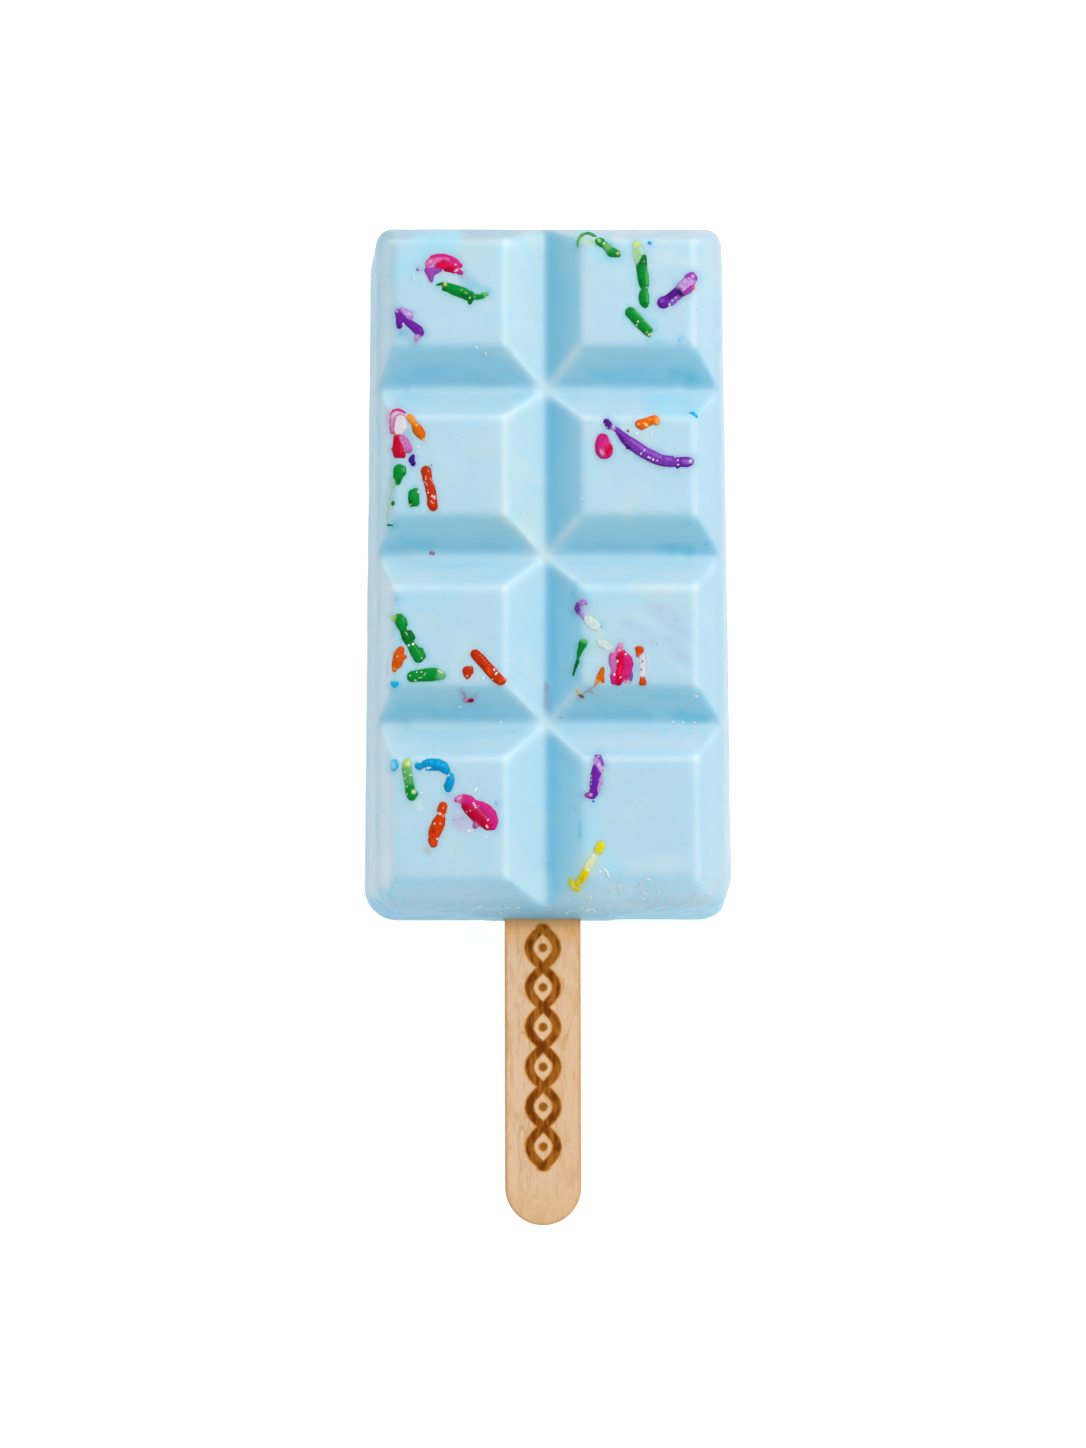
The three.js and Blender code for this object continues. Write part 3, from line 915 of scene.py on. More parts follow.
# %% Pink
CORE_CRIMSON = (0.53, 0.001, 0.056)
ARROW_CRIMSON = (0.48, 0.003, 0.03)
DEEP_CRIMSON = (0.43, 0.001, 0.034)
CAP_PINK = (0.56, 0.03, 0.15)
BRIGHT_CRIMSON = (0.72, 0.004, 0.07)
PINK_STROKES = dict(
    flake_1_left=(ROSE, [(429, 263.5, 0.48), (433, 262, 0.72), (438, 261, 0.68)]),
    flake_1_left_core=(CORE_CRIMSON, [(438, 264, 0.8), (445, 264.6, 0.84), (451, 266.6, 0.72),
        (454, 269.5, 0.5)]),
    flake_1_left_top=(MAGENTA, [(432, 257.6, 0.28), (438, 256.6, 0.36), (445, 257, 0.38),
        (451, 259.4, 0.42), (456, 262.3, 0.42)]),
    flake_1_left_prong=(MAGENTA, [(456, 264, 0.4), (460, 265.3, 0.32)]),
    flake_1_left_low_prong=(MAGENTA, [(456.5, 270.3, 0.36), (461, 273, 0.28)]),
    flake_1_left_tail=(PLUM, [(428.6, 270.5, 0.5), (430.6, 274.5, 0.46), (431.4, 280.6, 0.22)]),
    flake_1_left_tail_side=(PLUM, [(432.5, 271.5, 0.5), (437, 270.8, 0.36), (440, 270.2, 0.2)]),
    arrow_2_left=(ARROW_CRIMSON, [(397, 435.5, 0.4), (397.8, 442, 0.62), (398.8, 448, 0.8),
        (398.4, 452, 0.74)]),
    arrow_2_left_feet=(ARROW_CRIMSON, [(396, 455, 0.34), (399.4, 454.6, 0.26), (403, 455.6, 0.34)]),
    arrow_2_left_barb=(ARROW_CRIMSON, [(392.6, 449.5, 0.26), (395, 447, 0.3)]),
    arrow_2_left_side=(ORCHID, [(400.6, 435.6, 0.36), (404.5, 442, 0.56), (408.4, 449, 0.52)]),
    bead_2_right=(MAGENTA, [(602.6, 439.4, 0.74), (603, 445, 1.0), (604, 449, 1.1), (604.4, 450.6, 1.04)]),
    scrap_3_left=(DARK_CRIMSON, [(468.6, 700.8, 0.26), (471.4, 700.4, 0.34)]),
    scrap_3_left_side=(ROSE, [(464.8, 700, 0.24), (466.6, 701, 0.22)]),
    cluster_3_right=(CRIMSON, [(621.3, 654, 0.6), (620.4, 662, 0.68), (619.2, 670, 0.66),
        (618.4, 678, 0.66), (618.5, 682, 0.48)]),
    cluster_3_right_left_lobe=(ORCHID, [(613.4, 656.6, 0.56), (613, 663, 0.5), (613.6, 669, 0.3)]),
    cluster_3_right_top=(ROSE, [(620.5, 645.6, 0.32), (618.6, 650.3, 0.4)]),
    cluster_3_right_right_lobe=(MAGENTA, [(625.4, 655, 0.36), (628, 659.6, 0.54), (629.6, 664.6, 0.46),
        (627.6, 670, 0.5)]),
    cluster_3_right_low_lobe=(MAGENTA, [(626, 672.5, 0.44), (625, 677.5, 0.5)]),
    cluster_3_right_foot=(MAGENTA, [(613.6, 675.5, 0.42), (614.4, 681, 0.44)]),
    cluster_3_right_link=(ORCHID, [(613.6, 669, 0.3), (613.6, 673, 0.3)]),
    flake_4_left_tip=(ROSE, [(457, 799.6, 0.34), (461, 798.8, 0.5)]),
    flake_4_left_top=(MAGENTA, [(463.6, 799.4, 0.62), (469, 800.8, 0.68), (473, 804, 0.6)]),
    flake_4_left_core=(DEEP_CRIMSON, [(466, 806, 0.56), (470, 809.6, 0.7), (475.3, 814.4, 0.78),
        (480.5, 818.8, 0.8), (485.5, 822.7, 0.72), (488, 825.5, 0.6)]),
    flake_4_left_side=(MAGENTA, [(476, 804.6, 0.5), (481, 806.6, 0.62), (486, 810, 0.74),
        (490.5, 815, 0.76), (492.8, 821, 0.66), (492.4, 826, 0.52)]),
    flake_4_left_foot=(ORCHID, [(476, 824.5, 0.4), (475.2, 826.3, 0.33)]),
)
PINK_FILMS = dict(
    film_2_left_cap=(CAP_PINK, [(391.6, 412.4, 0.22), (394.6, 410.2, 0.32), (398, 409.6, 0.38),
        (401.6, 410.8, 0.32)]),
    film_2_left_cap_end=(MAGENTA, [(401.6, 411, 0.3), (405.4, 412.8, 0.2)]),
    film_2_left_edge=(ROSE, [(391, 413.6, 0.3), (390, 420, 0.36), (390, 427, 0.32), (391, 433, 0.2)]),
    film_2_left_veil=(CLEAR_PINK, [(400, 417, 0.6), (399.4, 421, 0.85), (399.6, 426, 0.95),
        (398, 431, 0.7)]),
    film_2_left_specks=(DARK_CRIMSON, [(392.6, 433, 0.14), (393, 433.2, 0.13)]),
    film_2_left_dot=(ROSE, [(402.6, 419, 0.12), (402.8, 419.6, 0.1)]),
    scrap_smear_3_left=(ORCHID, [(463.6, 693, 0.07), (465.5, 698, 0.1)]),
    wisps_3_right=(ROSE, [(625, 683, 0.1), (629.6, 683, 0.09), (631, 681.5, 0.07)]),
    dots_4_left=(ROSE, [(454, 820.2, 0.12), (454.3, 820.6, 0.1)]),
    dot_4_left=(ORCHID, [(462, 818, 0.13), (462.4, 818.4, 0.11)]),
)
PINK_DABS = dict(
    crimson_patches=(CRIMSON, [(606.5, 447, 0.3), (608.8, 450.5, 0.42), (610, 447, 0.3), (607, 453, 0.36),
        (626, 676, 0.25), (490, 825, 0.3)]),
    crimson_folds=(DARK_CRIMSON, [(604.6, 436, 0.15), (474.3, 827, 0.14), (455.6, 801, 0.12),
        (617.2, 656, 0.12), (616.8, 658.4, 0.1)]),
    bright_crimson=(BRIGHT_CRIMSON, [(447, 265, 0.25), (441, 266, 0.2), (621, 667, 0.3), (619.5, 673, 0.2),
        (610.5, 452, 0.16), (488, 824, 0.2)]),
    frosted_ends=(BLUSH, [(455.5, 264.5, 0.12), (457.5, 269.5, 0.13), (454.8, 271.3, 0.1), (430, 262, 0.13),
        (433.5, 266, 0.1), (620, 650.5, 0.13), (466.5, 811.6, 0.1), (470.4, 810.5, 0.08),
        (458.5, 799, 0.12), (625.5, 681, 0.12)]),
    translucent_tops=(ROSE, [(436, 258.5, 0.15), (440, 258.3, 0.15), (444, 258, 0.15), (448, 259.5, 0.12),
        (601.3, 450.5, 0.3), (603, 454, 0.24), (609, 438.5, 0.14), (610.5, 442, 0.13), (478, 806, 0.2),
        (613, 655, 0.16)]),
    side_folds=(BLUSH, [(401, 438, 0.09), (403.3, 442, 0.09), (405.6, 446, 0.09), (407.6, 449, 0.09),
        (600.5, 451, 0.12), (602, 453.5, 0.1)]),
    glints=(WHITE, [(443, 270.3, 0.14), (473.6, 803, 0.13), (474.8, 805.2, 0.13), (475.8, 807.3, 0.12),
        (488, 819.5, 0.14), (486.6, 826, 0.12), (487.6, 827.4, 0.12), (617.5, 661.3, 0.15),
        (614.5, 674.5, 0.14), (620.5, 677.3, 0.13), (625.8, 654.2, 0.14), (611.8, 444, 0.08),
        (460.6, 268.6, 0.09)]),
    thin_glint=(BLUSH, [(478, 809.6, 0.05), (480, 811.5, 0.05), (482, 813.3, 0.05), (484, 815.2, 0.06),
        (486, 817.2, 0.07)]),
    film_folds=(ROSE, [(401, 413.6, 0.16), (398.5, 414.4, 0.16), (396, 416, 0.17), (394.6, 419, 0.17),
        (394, 422, 0.16), (393.8, 425, 0.15), (393.8, 428, 0.12)]),
    salmon_spot=(SALMON, [(395, 434, 0.16)]),
)
pink = model_sprinkles("pink_sprinkles", "pink", PINK_STROKES, PINK_FILMS, PINK_DABS)

# %% [markdown]
# ## Orange and red-orange sprinkles
# The same kind again in two shades. The red-orange rods have chipped, ragged sides, and the
# amber ones are lumpier, with lighter amber patches. Painted highlights and spots of painted
# light lie on both.

# %% Orange
WARM_ORANGE = (0.62, 0.12, 0.002)
RED_ROD = (0.47, 0.026, 0.002)
BRIGHT_ORANGE = (0.72, 0.112, 0.002)
CONE_ORANGE = (0.54, 0.11, 0.003)
ARC_ORANGE = (0.55, 0.06, 0.002)
LOW_ARC_ORANGE = (0.58, 0.06, 0.002)
BROWN_ORANGE = (0.26, 0.09, 0.02)
DEEP_ORANGE = (0.54, 0.04, 0.002)
PALE_ORANGE = (0.66, 0.42, 0.2)
THREAD_GREY = (0.36, 0.33, 0.32)
THREAD_BROWN = (0.36, 0.27, 0.22)
BRIGHT_YELLOW = (0.86, 0.62, 0.16)
BURNT_ORANGE = (0.4, 0.02, 0.002)
LIT_ORANGE = (0.66, 0.055, 0.004)
DARK_DOT = (0.12, 0.02, 0.02)
ORANGE_STROKES = dict(
    rod_2_left_top=(AMBER, [(409.8, 417.3, 0.46), (413, 421.6, 0.4)]),
    rod_2_left=(WARM_ORANGE, [(415.2, 425.4, 0.46), (417.8, 429.8, 0.64), (420.8, 434, 0.58),
        (422.6, 438, 0.26)]),
    rod_2_left_corner=(ORANGE, [(423.3, 431.6, 0.18), (421, 430, 0.3)]),
    red_rod_2_left=(RED_ROD, [(426, 471, 0.64), (427.2, 476.5, 0.58), (428.2, 481, 0.5), (430, 487.5, 0.6),
        (431.3, 493, 0.62), (431.8, 498.5, 0.56), (432.4, 504, 0.64), (433.2, 506.4, 0.56)]),
    red_rod_2_left_side=(RED_ORANGE, [(431.5, 484, 0.14), (434, 492, 0.24), (435.6, 500.5, 0.2)]),
    red_rod_2_left_chips=(RED_ORANGE, [(423.4, 478, 0.16), (427, 489, 0.17), (428.6, 500.5, 0.15)]),
    bone_2_right=(BRIGHT_ORANGE, [(639.8, 424, 0.56), (645.5, 422.4, 0.54), (650, 421, 0.54),
        (654.5, 419.6, 0.58)]),
    bone_2_right_corners=(BRIGHT_ORANGE, [(641.6, 427, 0.38), (646, 425, 0.34)]),
    bone_2_right_end=(AMBER, [(656.5, 422, 0.4), (656, 418.5, 0.36)]),
    lump_3_left=(ORANGE, [(400.8, 650, 0.46), (398.5, 655, 0.6), (397.8, 660.5, 0.68), (395.3, 664.5, 0.5),
        (394.2, 669, 0.38)]),
    lump_3_left_side=(ORANGE, [(402.5, 657.5, 0.36), (405.2, 656.6, 0.22)]),
    lump_3_left_low_side=(ORANGE, [(399, 665.5, 0.3), (400.5, 664, 0.24)]),
    red_rod_3_left=(RED_ORANGE, [(475.3, 654.3, 0.6), (480.5, 659.5, 0.64), (486, 665.5, 0.62),
        (491, 671.3, 0.66), (496, 676.8, 0.64), (500.5, 680.6, 0.56)]),
    red_rod_3_left_end=(RED_ORANGE, [(505.3, 679.6, 0.18), (502.5, 681.5, 0.36), (500, 683.6, 0.24)]),
    red_rod_3_left_chips=(RED_ORANGE, [(477, 661, 0.22), (488, 673.5, 0.2), (493, 678, 0.2)]),
    red_bead_3_left=(RED_ORANGE, [(467.3, 671, 0.6), (467.5, 674.5, 0.46), (467.5, 677.3, 0.24)]),
    red_bead_3_left_side=(RED_ORANGE, [(470.6, 668.8, 0.34), (471, 672, 0.3)]),
    cone_3_right=(CONE_ORANGE, [(602.8, 668.6, 0.22), (601, 674, 0.38), (599.5, 679, 0.44)]),
    cone_3_right_foot=(AMBER, [(598.3, 680, 0.28), (595.6, 684.6, 0.14)]),
    cone_3_right_heel=(ORANGE, [(602.3, 677, 0.24), (603.5, 682.3, 0.15)]),
    arc_3_right=(ARC_ORANGE, [(636.8, 648.7, 0.26), (640, 650, 0.48), (638.8, 654.6, 0.36)]),
    arc_3_right_low=(LOW_ARC_ORANGE, [(642.6, 679, 0.32), (642.8, 681.5, 0.4), (641.2, 683.3, 0.28),
        (644.5, 683.4, 0.26)]),
    brown_end_3_right=(BROWN_ORANGE, [(579.8, 695, 0.2), (582.3, 696.8, 0.24)]),
    rod_4_left_top=(DEEP_ORANGE, [(443, 806, 0.52), (441.8, 810.5, 0.58)]),
    rod_4_left=(DEEP_ORANGE, [(440.6, 817.5, 0.56), (438.4, 823.5, 0.8), (435.6, 830, 0.8),
        (433.6, 835.5, 0.66), (433, 840, 0.6), (433.4, 843.6, 0.48)]),
)
ORANGE_FILMS = dict(
    rod_2_left_pale_tip=(PALE_ORANGE, [(423.4, 438.6, 0.2), (424.6, 441, 0.13)]),
    fleck_2_left=(BROWN, [(431.6, 464.8, 0.08), (431.8, 466, 0.1)]),
    arc_3_right_middle=(CLEAR_PINK, [(642, 656.4, 0.4), (642.8, 664, 0.42), (642.4, 674, 0.42)]),
    yellow_end_3_right=(LEMON, [(577, 689.4, 0.13), (578.8, 692.8, 0.2)]),
    thread_3_right=(THREAD_GREY, [(583.5, 694, 0.09), (589, 689.6, 0.09), (594.8, 686.4, 0.08)]),
    thread_3_right_loop=(THREAD_BROWN, [(589.8, 691.3, 0.1), (593, 692.6, 0.12)]),
)
ORANGE_DABS = dict(
    amber_lights=(AMBER, [(650, 419.6, 0.2), (656.3, 419.5, 0.3), (657, 422.8, 0.2), (394.3, 669.3, 0.24),
        (412.5, 419.5, 0.2), (598, 676.5, 0.14), (597, 681, 0.16)]),
    # Yellow-white spots on the amber: painted highlights.
    yellow_spots=(BRIGHT_YELLOW, [(638.7, 424, 0.14), (644.1, 422.7, 0.13), (646.8, 425.2, 0.18),
        (416.5, 425, 0.16), (657.2, 422.6, 0.12), (600.7, 682, 0.12)]),
    # Darker patches on the rods' sides.
    dark_sides=(BURNT_ORANGE, [(425.5, 474, 0.16), (426, 477, 0.15), (470.6, 671, 0.14),
        (478.5, 663, 0.13), (481, 665.6, 0.13), (433.3, 829, 0.2), (434, 832, 0.18)]),
    # Lighter orange spots: painted light.
    lit_spots=(LIT_ORANGE, [(503, 679, 0.3), (500, 682, 0.24), (433, 842, 0.4), (488, 669, 0.3),
        (490, 673, 0.3), (437, 832, 0.25), (639, 650, 0.2)]),
    # Salmon spots: painted highlights.
    salmon_glints=(SALMON, [(428.4, 471, 0.12), (426, 476.3, 0.11), (425.7, 479.3, 0.1), (431, 501, 0.1),
        (433, 503.3, 0.13), (480, 655, 0.06), (482.3, 657.5, 0.06), (484.6, 660, 0.06), (487, 662.5, 0.06),
        (488.8, 664.6, 0.06), (470.6, 667.6, 0.1), (467, 676.2, 0.15), (440.2, 823.7, 0.14),
        (443.5, 808, 0.13), (443.3, 815.5, 0.15), (505, 679.6, 0.13)]),
    pale_streaks=(BLUSH, [(424.6, 481.5, 0.07), (426, 483.5, 0.07), (427.4, 485.5, 0.07),
        (430.4, 478, 0.06), (431.6, 480.5, 0.06), (432.6, 483, 0.06), (431.5, 496.4, 0.08),
        (433.4, 497.4, 0.08), (435.2, 498.6, 0.07), (427.6, 489.5, 0.06), (428.6, 492, 0.06)]),
    dark_dots=(DARK_DOT, [(642.6, 661.5, 0.15), (641.2, 669.6, 0.14)]),
    glints=(WHITE, [(652.4, 425.4, 0.1), (428.5, 492.7, 0.12), (430.8, 479, 0.08), (432.4, 495.6, 0.12),
        (434.5, 496.3, 0.1), (397.2, 656, 0.11), (494.5, 669.5, 0.13), (495.6, 673.8, 0.13),
        (497, 672.8, 0.13), (492.5, 679.3, 0.11), (437.8, 813, 0.17), (440.2, 813.8, 0.17),
        (434.4, 823.7, 0.13), (437.4, 839, 0.13), (428.2, 836.6, 0.13)]),
)
orange = model_sprinkles("orange_sprinkles", "orange", ORANGE_STROKES, ORANGE_FILMS,
                         ORANGE_DABS)

# %% [markdown]
# ## Blue sprinkles
# One bent blue strand lies on square 4 left. The rest are small: an oval end that shows its
# pale middle, two half discs and a dot.

# %% Blue
DISC_BLUE = (0.002, 0.36, 0.74)
LIT_BLUE = (0.01, 0.38, 0.72)
DEEP_BLUE = (0.001, 0.24, 0.56)
BRIGHT_SKY = (0.003, 0.56, 0.86)
BLUE_STROKES = dict(
    bend_4_left_tail=(BLUE, [(417.6, 765.6, 0.36), (419.5, 768, 0.28), (422.5, 765, 0.34)]),
    bend_4_left=(BLUE, [(424, 764.2, 0.4), (428, 762.8, 0.5), (432.5, 763.3, 0.58), (437.8, 764.6, 0.68),
        (442.8, 766.5, 0.64), (445.8, 769.8, 0.5), (447.8, 772.3, 0.28)]),
    bend_4_left_belly=(BLUE, [(427, 769.6, 0.17), (434.5, 769.2, 0.17), (439, 769, 0.2)]),
    bend_4_left_end=(BLUE, [(450.8, 776, 0.36), (450.3, 781, 0.52), (448.5, 786, 0.54),
        (448.4, 788.8, 0.42)]),
    half_disc_2_right=(DISC_BLUE, [(690.8, 412.9, 0.2), (693, 413.3, 0.27), (695, 414.8, 0.3),
        (696.4, 416.4, 0.2)]),
    half_disc_3_left=(SKY, [(391.8, 683.6, 0.26), (394.4, 685, 0.34), (397, 683.6, 0.26)]),
    dot_1_right=(SKY, [(649.6, 242.8, 0.24), (650, 243, 0.24)]),
    oval_4_left=(SKY, [(393.8, 763.2, 0.5), (394, 765.2, 0.6), (393.6, 767, 0.5)]),
)
BLUE_FILMS = dict(
    dot_3_left=(PALE_SKY, [(397, 599, 0.15), (397, 599.6, 0.15)]),
    dot_4_right=(BLUE, [(593.3, 801.2, 0.2), (593.7, 801.5, 0.18)]),
    dash_1_right=(PALE_SKY, [(679.6, 338.3, 0.12), (679, 340.6, 0.12)]),
)
BLUE_DABS = dict(
    oval_middle=(PALE_SKY, [(392.8, 762.6, 0.36), (392.8, 766.8, 0.38)]),
    lit_backs=(LIT_BLUE, [(443.5, 765, 0.3), (431, 762, 0.25), (438, 763, 0.25), (451.5, 777, 0.2)]),
    deep_ends=(DEEP_BLUE, [(448.5, 787, 0.4), (430, 769.5, 0.2), (444, 769.5, 0.24)]),
    glints=(WHITE, [(427.8, 767.6, 0.15), (429.8, 767.4, 0.12), (451.2, 772, 0.14), (448.4, 775.4, 0.13)]),
    half_disc_light=(BRIGHT_SKY, [(695.4, 414.6, 0.2)]),
)
blue = model_sprinkles("blue_sprinkles", "blue", BLUE_STROKES, BLUE_FILMS, BLUE_DABS)

# %% [markdown]
# ## Yellow and cream sprinkles
# A yellow strand on square 4 right has washed out in its middle, and two grains on square 3
# right have lost nearly all their dye.

# %% Yellow
GOLDEN = (0.7, 0.49, 0.003)
YELLOW_STROKES = dict(
    strand_4_right_top=(YELLOW, [(600.4, 845.3, 0.52), (598.4, 850.3, 0.54)]),
    strand_4_right_low=(YELLOW, [(586, 871, 0.46), (584.2, 874.5, 0.5), (582, 878, 0.48),
        (579.4, 882, 0.42), (577.6, 885, 0.42)]),
    strand_4_right_bar=(YELLOW, [(570.4, 880.6, 0.34), (572.6, 884.4, 0.44), (576, 888.4, 0.46),
        (578.6, 890.4, 0.3)]),
)
YELLOW_FILMS = dict(
    strand_4_right_middle=(PALE_YELLOW, [(595.5, 854.5, 0.4), (592.5, 859, 0.5), (589, 865, 0.54),
        (586.8, 869, 0.46)]),
    grain_3_right=(CREAM, [(586.6, 618.6, 0.4), (589.6, 621, 0.66), (593.6, 624.6, 0.74),
        (597.6, 627.6, 0.5)]),
    low_grain_3_right=(CREAM, [(598.6, 641.6, 0.36), (602.6, 643.6, 0.56), (606.4, 645.6, 0.6),
        (610.4, 647.8, 0.38)]),
)
YELLOW_DABS = dict(
    lemon_sides=(LEMON, [(596.8, 846.5, 0.2), (570, 882.5, 0.2), (586.5, 863, 0.18), (584, 868, 0.18)]),
    golden_low=(GOLDEN, [(585, 873.5, 0.3), (582, 878.5, 0.26), (576.5, 885.5, 0.16)]),
    # Cream spots: painted highlights.
    cream_glints=(CREAM, [(573, 887, 0.16), (579.9, 888, 0.18), (593.6, 854.7, 0.18), (587.6, 863.6, 0.18)]),
    glints=(WHITE, [(577.7, 881.9, 0.1), (594, 855.4, 0.1)]),
)
yellow = model_sprinkles("yellow_sprinkles", "yellow", YELLOW_STROKES, YELLOW_FILMS,
                         YELLOW_DABS)

# %% [markdown]
# ## Specks and frost
# A few crumbs of dye went into the mix, and most sit just under the surface. Frost shows as
# white flecks, mostly on the bevel round the stick, where air was trapped as the mould
# filled. Both are laid like the sprinkles, only much smaller.

# %% Specks of dye
BRIGHT_TEAL = (0.02, 0.46, 0.66)
LIGHT_TEAL = (0.06, 0.5, 0.66)
DARK_RED = (0.34, 0.05, 0.05)
CLEAR_BROWN = (0.4, 0.36, 0.36)
TEAL = (0.08, 0.4, 0.52)
SLATE = (0.3, 0.42, 0.53)
EARTH = (0.2, 0.15, 0.14)
SPECK_FILMS = dict(
    teal_dots=(TEAL, [(696, 309, 0.12), (696.4, 309.4, 0.11)]),
    teal_dot_groove=(TEAL, [(558, 342.5, 0.1), (558.4, 342.8, 0.09)]),
    teal_dot_bevel=(TEAL, [(530, 391, 0.1), (530.4, 391.2, 0.09)]),
    teal_dot_top=(TEAL, [(538, 249, 0.1), (538.4, 249.3, 0.09)]),
    brown_2_left=(EARTH, [(431.6, 553.2, 0.34), (432.6, 553.8, 0.34)]),
    brown_2_right=(EARTH, [(627.6, 430.6, 0.19), (628.4, 431.4, 0.18)]),
    teal_2_right=(BRIGHT_TEAL, [(706, 544, 0.15), (706.3, 544.4, 0.13)]),
    teal_low_2_right=(LIGHT_TEAL, [(690, 524, 0.13), (690.3, 524.3, 0.12)]),
    pale_2_right=(PALE_SKY, [(591, 422.6, 0.11), (591.4, 422.8, 0.1)]),
    red_3_right=(DARK_RED, [(560, 717.4, 0.12), (560.4, 717.8, 0.11)]),
    slate_3_right=(SLATE, [(656.5, 643.5, 0.1), (656.9, 644, 0.1)]),
    slate_high_3_right=(SLATE, [(659.5, 608, 0.1), (660, 608.3, 0.1)]),
    teal_4_right=(TEAL, [(706, 895.5, 0.11), (706.4, 895.8, 0.1)]),
    slate_4_right=(SLATE, [(575, 808, 0.1), (575.2, 808.5, 0.1)]),
    dark_4_left=(SLATE, [(383.6, 811, 0.1), (383.8, 811.4, 0.1)]),
    teal_low_4_left=(TEAL, [(433, 747, 0.08), (433.3, 747.3, 0.08)]),
)
DUST = (0.12, 0.47, 0.62)
DUST_GRAINS = 140
GROOVE_GRAINS = 30
GROOVE_COLUMNS = (547, 570)
FACE_COLUMNS = (376, 720)
FACE_ROWS = (236, 912)
GRAIN_SIZES = (0.035, 0.1, 0.045)
GRAIN_STEP = (0.4, 0.3)
chance = random.Random(3)
for number in range(DUST_GRAINS):
    in_groove = number < GROOVE_GRAINS
    column = chance.uniform(*GROOVE_COLUMNS if in_groove else FACE_COLUMNS)
    row = chance.uniform(*FACE_ROWS)
    size = chance.triangular(*GRAIN_SIZES)
    grain_end = (column + GRAIN_STEP[0], row + GRAIN_STEP[1], size)
    SPECK_FILMS[f"dust_{number}"] = (DUST, [(column, row, size), grain_end])
SPECK_DABS = dict(
    clear_heart=(CLEAR_BROWN, [(432, 553.2, 0.16)]),
)
specks = model_sprinkles("dye_specks", None, {}, SPECK_FILMS, SPECK_DABS)

